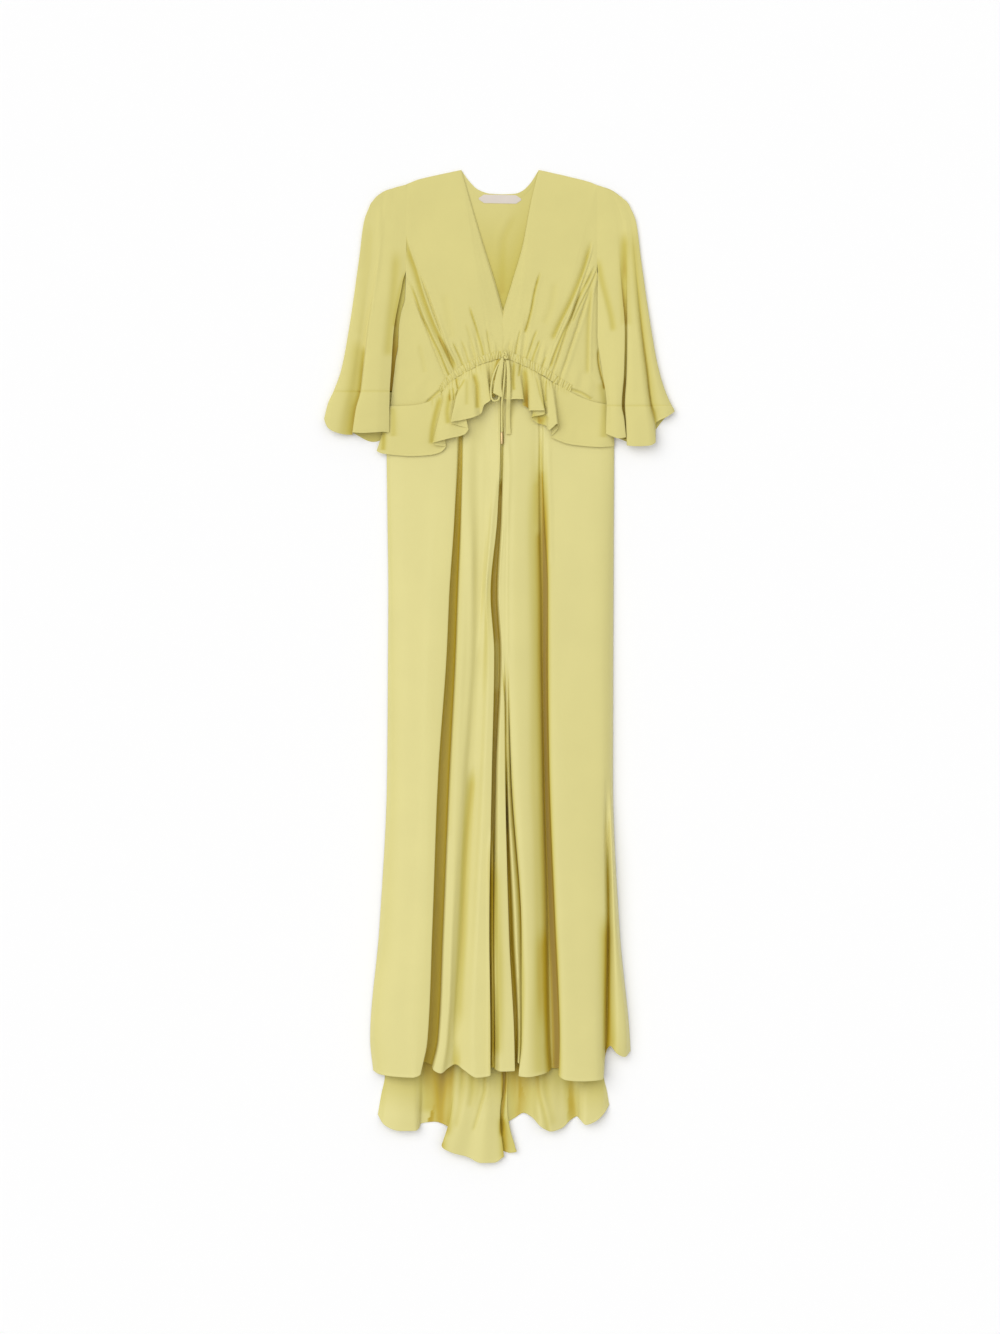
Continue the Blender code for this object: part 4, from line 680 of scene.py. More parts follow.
SKIRT_CREASES = [Crease(*row) for row in (
    ("middle_fill", [(-31, 400), (-31.5, 570), (-36, 700), (-41, 800), (-47, 930), (-52, 1020)],
     8, -3.5, -0.7),
    ("middle_light", [(-40, 780), (-47.5, 930), (-57.5, 1100), (-64, 1200), (-70, 1300), (-78, 1480)],
     7, -0.8, -0.5),
    ("first_fill", [(-51, 520), (-51, 700), (-53, 800), (-59, 900), (-66, 1000), (-71, 1100), (-76, 1200),
     (-81, 1300), (-87, 1430)], 6.5, -4.5, -0.1),
    ("beside_first", [(-70, 520), (-71, 640), (-74, 760), (-78, 880), (-84, 980), (-90, 1120)], 4, 0.2, 0.16),
    ("centre_fill", [(-3, 316), (-3, 400), (-3.2, 460), (-4, 522)], 3.4, -5, -0.9),
    ("centre_line", [(-5, 440), (-4, 475), (-2.6, 500), (-2.6, 540)], 0.9, 0.8, 0.5),
    ("centre_rise", [(-12, 770), (-9, 820), (-10, 862)], 5, -1.2, -0.3),
    ("centre_light", [(-18, 1080), (-18, 1250), (-17, 1350), (-17, 1510)], 4, -16, -0.1),
    ("beside_second", [(-14, 1120), (-9, 1250), (-6, 1320), (-6, 1380), (-10, 1470)], 6, 0.2, 0.55),
    ("satin_ridge_left", [(-10, 400), (-9, 470), (-11, 520), (-18, 580), (-23, 640), (-33, 720), (-41, 810)],
     3.6, -1.2, -0.1),
    ("satin_ridge_right", [(1, 500), (0, 600), (-4, 650), (-6.5, 700), (-4, 750), (0, 820)], 1.6, -0.5, 0),
    ("satin_curve", [(3, 430), (9, 470), (11, 500), (7, 545), (4, 600)], 4.5, -0.9, 0),
    ("under_flounce", [(17, 368), (15.5, 390), (13, 415), (10, 440)], 4, 0.3, 0.3),
    ("third_roll", [(75, 430), (76, 500), (78, 560), (79, 660)], 3.5, -0.8, -0.1),
    ("third_top", [(60, 360), (61, 420), (62, 460), (63, 505)], 5, -1, -0.3),
    ("third_fill", [(60, 360), (61, 430), (60, 500), (60, 560), (58, 610)], 4.5, -1, -0.35),
    ("beside_third", [(59, 400), (54, 480), (49, 540), (48, 600), (49, 660), (51, 740), (52, 820), (51, 900),
     (51, 1000), (55, 1100), (57, 1200), (59, 1300), (66, 1440)], 6.8, 0.4, 0.34, 0, 0, 0.3),
    ("third_valley", [(67, 420), (69, 520), (69.5, 640), (70, 820), (71, 960), (74, 1060), (77, 1150),
     (81, 1240), (85, 1320), (87, 1400), (89, 1540)], 5.6, 0, 0.75),
    ("third_side", [(68, 440), (71, 560), (71.5, 640), (72, 820), (73, 960), (76, 1060), (80, 1150),
     (84, 1240), (88, 1320), (90, 1400), (92, 1540)], 3.6, 0, 0.55),
    ("third_left", [(62, 470), (63, 640), (63.5, 820), (65, 960), (67, 1060), (70, 1150), (73, 1240),
     (77, 1340), (80, 1420), (83, 1530)], 2.8, 0, -0.5),
    ("third_inside", [(66, 1240), (60, 1340), (58, 1400), (60, 1500)], 9, 0.3, 0.42),
    ("middle_soft", [(-19, 570), (-24, 660), (-28, 720), (-32, 800), (-37, 860), (-45, 920), (-50, 1000),
     (-57, 1060), (-61, 1100), (-64, 1160), (-66, 1240), (-69, 1330), (-72, 1440)], 6.2, 0.4, 0.48, 0.3),
    ("slit_line", [(-1.5, 805), (0.5, 840), (3.5, 885), (4.2, 920), (4.6, 960), (6, 1040), (7, 1100)],
     1, 1.2, 0.8),
    ("slit_depth", [(7, 1040), (9, 1100), (12, 1200), (17, 1300), (21, 1400), (25, 1520)], 2.6, -4, 0.1),
    ("wedge_depth", [(10, 930), (15, 1030), (21, 1110), (27, 1200), (31, 1290), (33, 1350), (31, 1410),
     (27, 1480)], 2.6, 0.2, 0.55),
    ("flap_line", [(172, 1120), (173, 1200), (172, 1290), (170, 1380), (168, 1480)], 3.6, 0.6, 0.45),
    ("flap_inside", [(169, 1220), (171, 1340), (175, 1410), (182, 1500)], 8, 0, 0.75),
)]
TRAIN_CREASES = [Crease(*row) for row in (
    ("left_recess", [(-99, 1360), (-100, 1490), (-103, 1560), (-106, 1640)], 9.5, 0.2, 1.05, 0, 0.3, -0.5),
    ("left_slope", [(-126, 1360), (-126, 1500), (-126, 1562)], 10, 0.1, 0.5),
    ("beside_tail", [(-83, 1360), (-85, 1500), (-90, 1580), (-94, 1600)], 5, 0.1, 0.6),
    ("tail_valley", [(-62, 1420), (-68, 1520), (-78, 1585)], 4, 0.8, 0.25, 0.3, 0.3),
    ("tail_crease", [(-33, 1440), (-30, 1515), (-38, 1548), (-50, 1590)], 2.4, 1.2, 0.3, 0.2, 0.5),
    ("tail_second", [(-52, 1430), (-50, 1510), (-56, 1550)], 4, 0.6, 0.2, 0.2, 0.3),
    ("centre_slit", [(2, 1340), (1.8, 1505), (0.5, 1535), (-1.5, 1560), (-3.5, 1600)], 2.4, 3, 1.2),
    ("slit_shade", [(2, 1380), (1.8, 1505), (1, 1530)], 3, 0, 0.6),
    ("inside_tip", [(-2, 1560), (1, 1590), (5, 1650)], 5.5, 0, 0.85),
    ("right_recess", [(24, 1360), (24, 1480), (26, 1540), (32, 1640)], 18, 0.1, 0.6),
    ("right_lip", [(53, 1400), (57, 1490), (60, 1525), (67, 1550), (78, 1600)], 3.5, 0.8, 0.35, 0, 0.8, -0.8),
    ("right_soft", [(66, 1440), (70, 1500), (77, 1545), (84, 1580)], 5, 0.3, 0.22),
    ("right_valley", [(110, 1430), (114, 1530), (121, 1585)], 6, 0.8, 0.3, 0, 0.8, -1),
)]


def soft_step(share):
    """A share from 0 to 1 that starts and ends softly."""
    return share * share * (3 - 2 * share)


def ease(values, start, end):
    """0 before start, 1 after end, and a soft step in between."""
    return soft_step(np.clip((values - start) / (end - start), 0, 1))


def run_along(points, least=0.0):
    """How far along a line each of its points lies."""
    steps = np.linalg.norm(np.diff(points, axis=0), axis=1)
    return np.concatenate([[0.0], np.cumsum(np.maximum(steps, least))])


def smooth_curve(spots, values, wanted):
    """Values read from a smooth curve through (spots, values) that never overshoots between two of them."""
    spots = np.asarray(spots, float)
    values = np.asarray(values, float)
    step = np.diff(spots)
    slope = np.diff(values) / step
    tangent = np.empty(len(values))
    tangent[0] = slope[0]
    tangent[-1] = slope[-1]
    before, after = slope[:-1], slope[1:]
    same_way = before * after > 0
    weight_before = 2 * step[1:] + step[:-1]
    weight_after = step[1:] + 2 * step[:-1]
    safe_before = np.where(same_way, before, 1.0)
    safe_after = np.where(same_way, after, 1.0)
    mean = (weight_before + weight_after) / (weight_before / safe_before + weight_after / safe_after)
    tangent[1:-1] = np.where(same_way, mean, 0.0)
    wanted = np.clip(np.asarray(wanted, float), spots[0], spots[-1])
    at = np.clip(np.searchsorted(spots, wanted, side="right") - 1, 0, len(step) - 1)
    t = (wanted - spots[at]) / step[at]
    start = (1 + 2 * t) * (1 - t) ** 2 * values[at] + t * (1 - t) ** 2 * step[at] * tangent[at]
    end = t * t * (3 - 2 * t) * values[at + 1] + t * t * (t - 1) * step[at] * tangent[at + 1]
    return start + end


def read_profile(profile, down):
    """Values of a profile, a list of (down, value), at some places down."""
    return smooth_curve(*zip(*profile), down)


def read_pairs(pairs, wanted):
    """Values between (place, value) pairs, which may come in any order."""
    places, values = zip(*sorted(pairs))
    return np.interp(wanted, places, values)


def fill_between(lines, pitch, corners=()):
    """A grid of points from lines of cloth (line, sample, xyz), with extra lines rounded in between; a fourth
    value a point, its painted shade, is left at 0.
    """
    gaps = np.linalg.norm(np.diff(lines, axis=0), axis=2).max(axis=1)
    steps = np.maximum(np.ceil(gaps / pitch), 2).astype(int)
    whole = np.repeat(np.arange(len(steps)), steps)
    part = np.concatenate([np.arange(count) / count for count in steps])
    share = np.append(whole + part, len(steps))
    bounds = [0, *corners, len(lines) - 1]
    grid = np.zeros((len(share), lines.shape[1], 4))
    for first, last in zip(bounds[:-1], bounds[1:]):
        inside = (share >= first) & (share <= last)
        for sample in range(lines.shape[1]):
            points = lines[first:last + 1, sample]
            along = run_along(points, LEAST_STEP)
            wanted = np.interp(share[inside] - first, np.arange(len(points)), along)
            for axis in range(3):
                grid[inside, sample, axis] = smooth_curve(along, points[:, axis], wanted)
    return grid


def to_world(points):
    """Table points (across, down, height) in millimetres as model points in metres."""
    points = np.asarray(points, float)
    x = (points[..., 0] - SPREAD_MIDDLE) * MM
    y = (OVERALL_LENGTH / 2 - points[..., 1]) * MM
    return np.stack([x, y, points[..., 2] * MM], axis=-1)


def shares_with_hem(rows, length):
    """Even shares along a piece, and a few close together at its turned hem."""
    near_hem = 1 - HEM_ROWS * HEM_WIDTH / length
    even = np.linspace(0, near_hem[0], rows)
    return np.concatenate([even[:-1], near_hem, [1.0]])


def shares_from_edge(edge_share, edge_rows, rows):
    """Shares along a piece, close together near its top edge and even below."""
    return np.concatenate([np.linspace(0, edge_share, edge_rows)[:-1], np.linspace(edge_share, 1, rows)])


def from_hem(grid):
    """How far each point of a grid lies from its last row, along the cloth."""
    steps = np.linalg.norm(np.diff(grid[..., :3], axis=1), axis=2)
    run = np.concatenate([np.zeros((grid.shape[0], 1)), np.cumsum(steps, axis=1)], axis=1)
    return run[:, -1:] - run


def soft_waves(grid, waves):
    """Slow waves of cloth over a grid, smooth between random knots."""
    chance = np.random.default_rng(waves.seed)
    values = chance.uniform(-1, 1, (waves.cells[0] + 3, waves.cells[1] + 3))
    for count, cells in zip(grid.shape[:2], waves.cells):
        spots = np.linspace(0, cells, count)
        whole = np.floor(spots).astype(int)
        share = soft_step(spots - whole)[:, None]
        values = (values[whole] * (1 - share) + values[whole + 1] * share).T
    return waves.height * values


def valley_shade(grid, reach, start, full, swell=1.0):
    """Painted shade from how deep each point lies between the folds on both its sides: 0 on a fold, 1 in a
    deep valley.
    """
    shade = np.zeros(grid.shape[:2])
    order = np.arange(grid.shape[0])
    before = order[None, :] < order[:, None]
    relief = grid[..., 2] / swell
    for row in range(grid.shape[1]):
        across = grid[:, row, 0]
        height = relief[:, row]
        near = np.abs(across[:, None] - across[None, :]) <= reach
        left = np.where(near & before, height[None, :], -1.0).max(axis=1)
        right = np.where(near & before.T, height[None, :], -1.0).max(axis=1)
        shade[:, row] = ease(np.minimum(left, right) - height, start, full)
    return shade


def press_creases(grid, creases):
    """Presses each crease of a table into a grid of cloth, raises the ridges beside it and paints shade along
    it.
    """
    for crease in creases:
        route = np.array(crease.route, float)
        run = run_along(route)
        spots = np.linspace(0, run[-1], CREASE_SAMPLES)
        line = np.stack([smooth_curve(run, route[:, axis], spots) for axis in range(2)], axis=1)
        near = CREASE_REACH * crease.width
        places = grid[..., :2]
        inside = ((places > line.min(axis=0) - near) & (places < line.max(axis=0) + near)).all(axis=2)
        points = grid[inside]
        if len(points) == 0:
            continue
        best = np.full(len(points), np.inf)
        side = np.zeros(len(points))
        place = np.zeros(len(points))
        for index, (start, end) in enumerate(zip(line[:-1], line[1:])):
            way = end - start
            offset = points[:, :2] - start
            share = np.clip(offset @ way / (way @ way), 0, 1)
            distance = np.linalg.norm(offset - share[:, None] * way, axis=1)
            closer = distance < best
            best[closer] = distance[closer]
            side[closer] = np.sign(offset[:, 0] * way[1] - offset[:, 1] * way[0])[closer]
            place[closer] = (index + share[closer]) / (CREASE_SAMPLES - 1)
        strength = ease(place, 0.0, CREASE_STARTS) * (1 - ease(place, CREASE_ENDS, 1.0))
        width = crease.width * 2.0 ** (np.where(side > 0, crease.lean, -crease.lean) / 2)
        trough = np.exp(-(best / width) ** 2)
        beside = np.exp(-((best - RIDGE_AT * width) / (RIDGE_WIDTH * width)) ** 2)
        ridge = np.where(side > 0, crease.right_ridge, crease.left_ridge) * beside
        lifted = points[:, 2] + (ridge - crease.depth * trough) * strength
        grid[inside, 2] = np.maximum(lifted, BACK_TOP * (points[:, 2] >= BACK_TOP))
        # Painted shade along the crease; a shade below 0 takes painted shade away
        grid[inside, 3] += crease.shade * np.exp(-(best / (SHADE_WIDTH * width)) ** 2) * strength


def press_gathers(grid, from_seam, gathers, seam_row):
    """Fine gathers that open out from a seam: narrow troughs of uneven spacing, depth and length, each with
    painted shade.
    """
    chance = np.random.default_rng(gathers.seed)
    run = run_along(grid[:, seam_row, :2])
    share = run / run[-1]
    count = gathers.count
    even = np.linspace(gathers.low, gathers.high, count)
    shifts = chance.uniform(-GATHER_SHIFT, GATHER_SHIFT, count) * (gathers.high - gathers.low) / count
    for centre in even + shifts:
        width = chance.uniform(*GATHER_WIDTHS) / run[-1]
        far = gathers.reach * chance.uniform(*GATHER_LENGTHS)
        deep = gathers.depth * chance.uniform(*GATHER_DEPTHS)
        across = np.exp(-((share - centre) / width) ** 2)[:, None]
        trough = deep * across * (1 - ease(from_seam, GATHER_START * far, far))
        grid[..., 2] -= trough
        # Painted shade in the trough
        grid[..., 3] += GATHER_SHADE * trough


def turn_hem(grid):
    """Swells the last rows of a grid, where the hem is turned and sewn."""
    grid[:, -len(HEM_PROFILE):, 2] += HEM_SWELL * HEM_PROFILE


def store(mesh, name, values):
    """Keeps one value a point on the mesh, for its material to read."""
    made = mesh.attributes.new(name, "FLOAT", "POINT")
    made.data.foreach_set("value", np.ascontiguousarray(values, dtype=np.float32))


def put_on(made, node):
    """Puts a finished piece on the dress in place of a solid."""
    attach(made, "root")
    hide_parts(node)


def finish_cloth(node, grid, material, from_outside=False, shell=SHELL, hem=False):
    """Lays a new grid of faces on the points, gives it a cloth's thickness and puts it on the dress."""
    name = node + "_cloth"
    columns, rows, _ = grid.shape
    bpy.ops.object.select_all(action="DESELECT")
    bpy.ops.mesh.primitive_grid_add(x_subdivisions=columns - 1, y_subdivisions=rows - 1, size=2.0)
    made = bpy.context.active_object
    made.name = name
    mesh = made.data
    mesh.name = name
    flat = np.empty(len(mesh.vertices) * 3)
    mesh.vertices.foreach_get("co", flat)
    flat = flat.reshape(-1, 3)
    column = np.rint((flat[:, 0] + 1) / 2 * (columns - 1)).astype(int)
    row = np.rint((1 - flat[:, 1]) / 2 * (rows - 1)).astype(int)
    mesh.vertices.foreach_set("co", to_world(grid[column, row, :3]).ravel())
    step_across = np.linalg.norm(np.diff(grid[..., :3], axis=0), axis=2)
    run_across = np.concatenate([np.zeros((1, rows)), np.cumsum(step_across, axis=0)])
    off_middle = run_across - run_across[columns // 2]
    to_hem = from_hem(grid)
    run_down = to_hem[:, :1] - to_hem
    places = np.stack([off_middle[column, row], -run_down[column, row]], axis=1) * MM
    corner = np.empty(len(mesh.loops), int)
    mesh.loops.foreach_get("vertex_index", corner)
    mesh.uv_layers[0].data.foreach_set("uv", places[corner].ravel())
    # Painted shade of the folds, which the material turns into darker colours
    store(mesh, "painted_fold_shade", np.clip(grid[column, row, 3], 0, DARKEST_SHADE))
    store(mesh, "hem_gap", to_hem[column, row] if hem else np.full(len(row), NO_HEM))
    mesh.update()
    solid = made.modifiers.new("Thickness", "SOLIDIFY")
    solid.thickness = shell * MM
    solid.offset = -1.0 if from_outside else 1.0
    bpy.ops.object.modifier_apply(modifier=solid.name)
    mesh.materials.append(material)
    bpy.ops.object.shade_smooth_by_angle(angle=math.radians(CLOTH_SMOOTH_ANGLE))
    put_on(made, node)
    return made


def skirt_top(fold):
    """Where a fold line of the front skirt meets the gathered seam, inside the side seams."""
    return min(max(fold.at_440, SKIRT_TOP_LEFT), SKIRT_TOP_RIGHT)


def skirt_line(fold, downs, waist):
    """Across and height along one fold line of the front skirt; some folds stand up or sink further down."""
    spots = [waist, *SKIRT_LEVELS, fold.hem_down]
    values = [skirt_top(fold), fold.at_440, fold.at_570, fold.at_700, fold.at_800, fold.at_1000,
              fold.at_1255, fold.at_1435, fold.hem_across]
    above = fold.rise if fold.rise_above is None else fold.rise_above
    rise = above + (fold.rise - above) * ease(downs, fold.opens_at, fold.opens_at + FOLD_OPENS)
    return smooth_curve(spots, values, downs), BACK_TOP + rise * read_profile(SKIRT_SWELL, downs)


def close_slit(grid, swell):
    """Fills the upper part of the slit, which lies nearly closed, and takes away most of its painted shade.
    """
    downs = grid[..., 1]
    closed = ease(downs, *SLIT_CLOSES) * (1 - ease(downs, *SLIT_OPENS))
    closed *= np.abs(grid[..., 0] - read_profile(SLIT_MIDDLE, downs)) < SLIT_HALF
    grid[..., 2] = np.maximum(grid[..., 2], BACK_TOP + closed * SLIT_FILL * swell)
    grid[..., 3] *= 1 - SLIT_LIGHTER * closed


def skirt_front():
    """The front skirt in its two halves, from under the flounce down to the turned hem, with painted shade in
    its folds and creases.
    """
    shares = shares_with_hem(*SKIRT_ROWS)
    halves = []
    for rows, bodice_rows, closed in ((SKIRT_FRONT_LEFT, BODICE_LEFT, CLOSED),
                                      (SKIRT_FRONT_RIGHT, BODICE_RIGHT, -CLOSED)):
        seam = [(gather.seam_across, gather.seam_down) for gather in bodice_rows]
        lines = []
        for fold in rows:
            waist = float(read_pairs(seam, skirt_top(fold))) + UNDER_SEAM
            downs = waist + (fold.hem_down - waist) * shares
            across, height = skirt_line(fold, downs, waist)
            if fold.name == "centre_seam":
                across = across + closed
            lines.append(np.stack([across, downs, height], axis=1))
        halves.append(fill_between(np.array(lines), SKIRT_PITCH))
    whole = np.concatenate(halves)
    swell = np.maximum(read_profile(SKIRT_SWELL, whole[..., 1]), LEAST_SWELL)
    # Painted shade in the skirt's folds
    whole[..., 3] = VALLEY_SHADE * valley_shade(whole, *SKIRT_VALLEY, swell)
    close_slit(whole, swell)
    press_creases(whole, SKIRT_CREASES)
    drape = sum(soft_waves(whole, waves) for waves in SATIN_WAVES)
    drape = drape * ease(whole[..., 1], *SATIN_FROM) * (1 - CALM_VALLEYS * whole[..., 3])
    whole[..., 2] += SATIN_DRAPE * drape
    whole[..., 2] = np.maximum(whole[..., 2], BACK_TOP)
    turn_hem(whole)
    middle = len(halves[0])
    finish_cloth("skirt_front_left", whole[:middle], satin, hem=True)
    finish_cloth("skirt_front_right", whole[middle:], satin, hem=True)


def skirt_surface():
    """Heights of the front skirt's upper face under the flounce: a row for each millimetre down."""
    levels = np.arange(RUFFLE_CLEAR_DOWN, LOWEST_RUFFLE)
    spots = np.arange(-WIDEST_RUFFLE, WIDEST_RUFFLE + 1)
    rows = SKIRT_FRONT_LEFT[:-1] + SKIRT_FRONT_RIGHT
    lines = [skirt_line(fold, levels, SEAM_TOP_DOWN) for fold in rows]
    surface = []
    for index in range(len(levels)):
        places = np.maximum.accumulate([across[index] for across, _ in lines])
        surface.append(np.interp(spots, places, [height[index] + WALL for _, height in lines]))
    return np.array(surface)


def skirt_height(surface, across, down):
    """The skirt's height at places under the flounce, read between the points of its surface."""
    last_row, last_column = np.array(surface.shape) - 1 - INSIDE_SURFACE
    row = np.clip(down - RUFFLE_CLEAR_DOWN, 0, last_row)
    column = np.clip(across + WIDEST_RUFFLE, 0, last_column)
    low, left = row.astype(int), column.astype(int)
    s, t = row - low, column - left
    upper = surface[low, left] * (1 - t) + surface[low, left + 1] * t
    lower = surface[low + 1, left] * (1 - t) + surface[low + 1, left + 1] * t
    return upper * (1 - s) + lower * s


def skirt_back(side, rows):
    """Half of the back skirt, flat on the floor and raised in folds where its train shows, with painted shade
    in those folds and a painted shadow under the front skirt's hem.
    """
    shown = HIDDEN_SHARE + (1 - HIDDEN_SHARE) * shares_with_hem(*TRAIN_ROWS)
    shares = np.concatenate([np.linspace(0, HIDDEN_SHARE, HIDDEN_ROWS)[:-1], shown])
    lines = []
    for fold in rows:
        half_way = (TRAIN_LEVELS[-1] + fold.hem_down) / 2
        spots = [WAIST_DOWN, *TRAIN_LEVELS, half_way, fold.hem_down]
        values = [fold.at_waist, fold.at_1000, fold.at_1370, fold.at_1496, fold.half_way, fold.hem_across]
        downs = WAIST_DOWN + (fold.hem_down - WAIST_DOWN) * shares
        across = smooth_curve(spots, values, downs)
        if fold.name == "centre_seam":
            across = across + (CLOSED if side == "left" else -CLOSED)
        height = fold.rise * read_profile(TRAIN_SWELL, downs)
        lines.append(np.stack([across, downs, height], axis=1))
    grid = fill_between(np.array(lines), TRAIN_PITCH)
    # Painted shade in the train's folds
    grid[..., 3] = valley_shade(grid, *TRAIN_VALLEY) * ease(grid[..., 1], *TRAIN_SHADE_FROM)
    press_creases(grid, TRAIN_CREASES)
    # Painted shadow on the train just below the front skirt's hem
    front_folds = SKIRT_FRONT_LEFT + SKIRT_FRONT_RIGHT
    front_hem = read_pairs([(fold.hem_across, fold.hem_down) for fold in front_folds], grid[..., 0])
    clear_of_hem_shadow = ease(grid[..., 1], front_hem - UNDER_HEM_START, front_hem + UNDER_HEM_REACH)
    grid[..., 3] += UNDER_HEM_SHADE * (1 - clear_of_hem_shadow)
    turn_hem(grid)
    finish_cloth("skirt_back_" + side, grid, satin, hem=True)


def gather_length(gather):
    """Length of one gather line of the bodice."""
    return math.hypot(gather.seam_across - gather.top_across, gather.seam_down - gather.top_down)


def bodice_line(gather, shares):
    """Points along one gather line of the front bodice, from the top edge down to the gathered seam."""
    across = gather.top_across + (gather.seam_across - gather.top_across) * shares
    down = gather.top_down + (gather.seam_down - gather.top_down) * shares
    length = gather_length(gather)
    height = gather.top_height + (gather.seam_height - gather.top_height) * soft_step(shares)
    height = height + BODICE_PUFF * np.sin(math.pi * shares) * min(length / PUFF_LENGTH, 1)
    from_seam = (1 - shares) * length
    fade = soft_step(np.clip((gather.reach - from_seam) / (CREASE_FADE * gather.reach), 0, 1))
    flattened = SEAM_CREASE + (1 - SEAM_CREASE) * np.clip(from_seam / CREASE_OPENS, 0, 1)
    height = height + SOFT_CREASE * gather.crease * fade * flattened
    if gather.top_down < ARMPIT_DOWN["left"]:
        beside_armhole = np.clip((abs(gather.top_across) - ARMHOLE_FROM) / ARMHOLE_SPAN, 0, 1)
        height = height + ARMHOLE_LIFT * beside_armhole * (1 - ease(shares * length, *ARMHOLE_FADES))
    if gather.name == "centre":
        across = across - math.copysign(CLOSED_FRONT, gather.top_across)
    return np.stack([across, down, np.maximum(height, BACK_TOP)], axis=1)


def bodice_front(side, rows):
    """Half of the front bodice, with creases from the armhole and fine gathers above the casing, both with
    painted shade.
    """
    shares = shares_from_edge(*BODICE_ROWS)
    lines = np.array([bodice_line(gather, shares) for gather in rows])
    names = [gather.name for gather in rows]
    corners = sorted([names.index("neck_point"), names.index("armhole_top")])
    grid = fill_between(lines, BODICE_PITCH, corners)
    length = np.linalg.norm(grid[:, -1, :2] - grid[:, 0, :2], axis=1)[:, None]
    press_creases(grid, BODICE_CREASES)
    press_gathers(grid, (1 - shares) * length, BODICE_GATHERS[side], -1)
    grid[..., 2] += soft_waves(grid, BODICE_WAVES[side])
    armhole = abs(rows[names.index("armhole_top")].top_across)
    open_edge = np.abs(grid[:, 0, 0]) < armhole - EDGE_SLACK
    rolled = ease(shares * length, -EDGE_DROP * EDGE_ROLL, EDGE_ROLL)
    share = np.where(open_edge[:, None], rolled, 1.0)
    grid[..., 2] = np.maximum(BACK_TOP + (grid[..., 2] - BACK_TOP) * share, BACK_TOP)
    finish_cloth("bodice_front_" + side, grid, crepe)


def casing(side, rows):
    """Drawstring channel: a narrow band along the gathered seam, puckered by the string inside it, with
    painted shade in the puckers.
    """
    band = np.linspace(1, 0, len(CASING_PROFILE))
    middle = len(band) // 2
    lines = []
    for gather in rows:
        line = bodice_line(gather, 1 - band * CASING_WIDTH / gather_length(gather))
        line[:, 2] = np.linspace(line[0, 2], line[-1, 2], len(band)) + CASING_LIFT - WALL + CASING_PROFILE
        lines.append(line)
    grid = fill_between(np.array(lines), CASING_PITCH)
    chance = np.random.default_rng(CASING_SEEDS[side])
    run = run_along(grid[:, middle, :2])
    spot = CASING_START
    while spot < run[-1]:
        width = chance.uniform(*CASING_WIDTHS)
        deep = chance.uniform(*CASING_DEPTHS)
        lean = chance.uniform(*CASING_LEAN)
        for sample in range(len(band)):
            shift = lean * (sample - middle) / middle
            dip = deep * np.exp(-((run - spot - shift) / width) ** 2)
            grid[:, sample, 2] -= dip
            # Painted shade in the pucker
            grid[:, sample, 3] += CASING_SHADE * dip
        spot += chance.uniform(*CASING_STEPS)
    finish_cloth("casing_" + side, grid, crepe)


def side_across(edge, down):
    """Where a side edge of the bodice lies at some places down."""
    acrosses, downs = zip(*edge)
    return np.interp(down, downs, acrosses)


def bodice_back():
    """The back bodice in one piece, with the low curve of its neck bound by a narrow band, and painted shade
    that deepens down the V and towards the viewer's right.
    """
    shares = shares_from_edge(*BACK_ROWS)
    spots, edge_downs = zip(*BACK_TOP_EDGE)
    first, last = (spots.index(point) for point in NECK_POINTS)
    tops = np.unique(np.concatenate([np.linspace(spots[0], spots[-1], BACK_COLUMNS), NECK_POINTS]))
    lines = []
    for top in tops:
        part = slice(first, last + 1)
        if top <= NECK_POINTS[0]:
            part = slice(0, first + 1)
        elif top > NECK_POINTS[1]:
            part = slice(last, None)
        top_down = float(smooth_curve(spots[part], edge_downs[part], [top])[0])
        place = (top - LEFT_SIDE[0][0]) / (RIGHT_SIDE[0][0] - LEFT_SIDE[0][0])
        downs = top_down + (WAIST_DOWN + BELOW_WAIST - top_down) * shares
        across = side_across(LEFT_SIDE, downs) * (1 - place) + side_across(RIGHT_SIDE, downs) * place
        lines.append(np.stack([across, downs, np.zeros(len(downs)), np.zeros(len(downs))], axis=1))
    grid = np.array(lines)
    from_neck = grid[..., 1] - grid[:, :1, 1]
    inside_neck = np.abs(grid[:, :1, 0] - sum(NECK_POINTS) / 2) < (NECK_POINTS[1] - NECK_POINTS[0]) / 2
    grid[..., 2] += NECK_BAND_LIFT * (1 - ease(from_neck, *NECK_BAND_EDGE)) * inside_neck
    grid[..., 2] += NECK_PUFF * ease(from_neck, *NECK_PUFF_STARTS) * (1 - ease(from_neck, *NECK_PUFF_ENDS))
    press_creases(grid, BACK_CREASES)
    # Painted shade that deepens down the V and towards the viewer's right
    grid[..., 3] += IN_THE_V_SHADE * ease(grid[..., 1], *IN_THE_V_SHADE_FROM)
    grid[..., 3] += BESIDE_THE_V_SHADE * ease(grid[..., 0], *BESIDE_THE_V_SHADE_FROM)
    finish_cloth("bodice_back", grid, crepe)


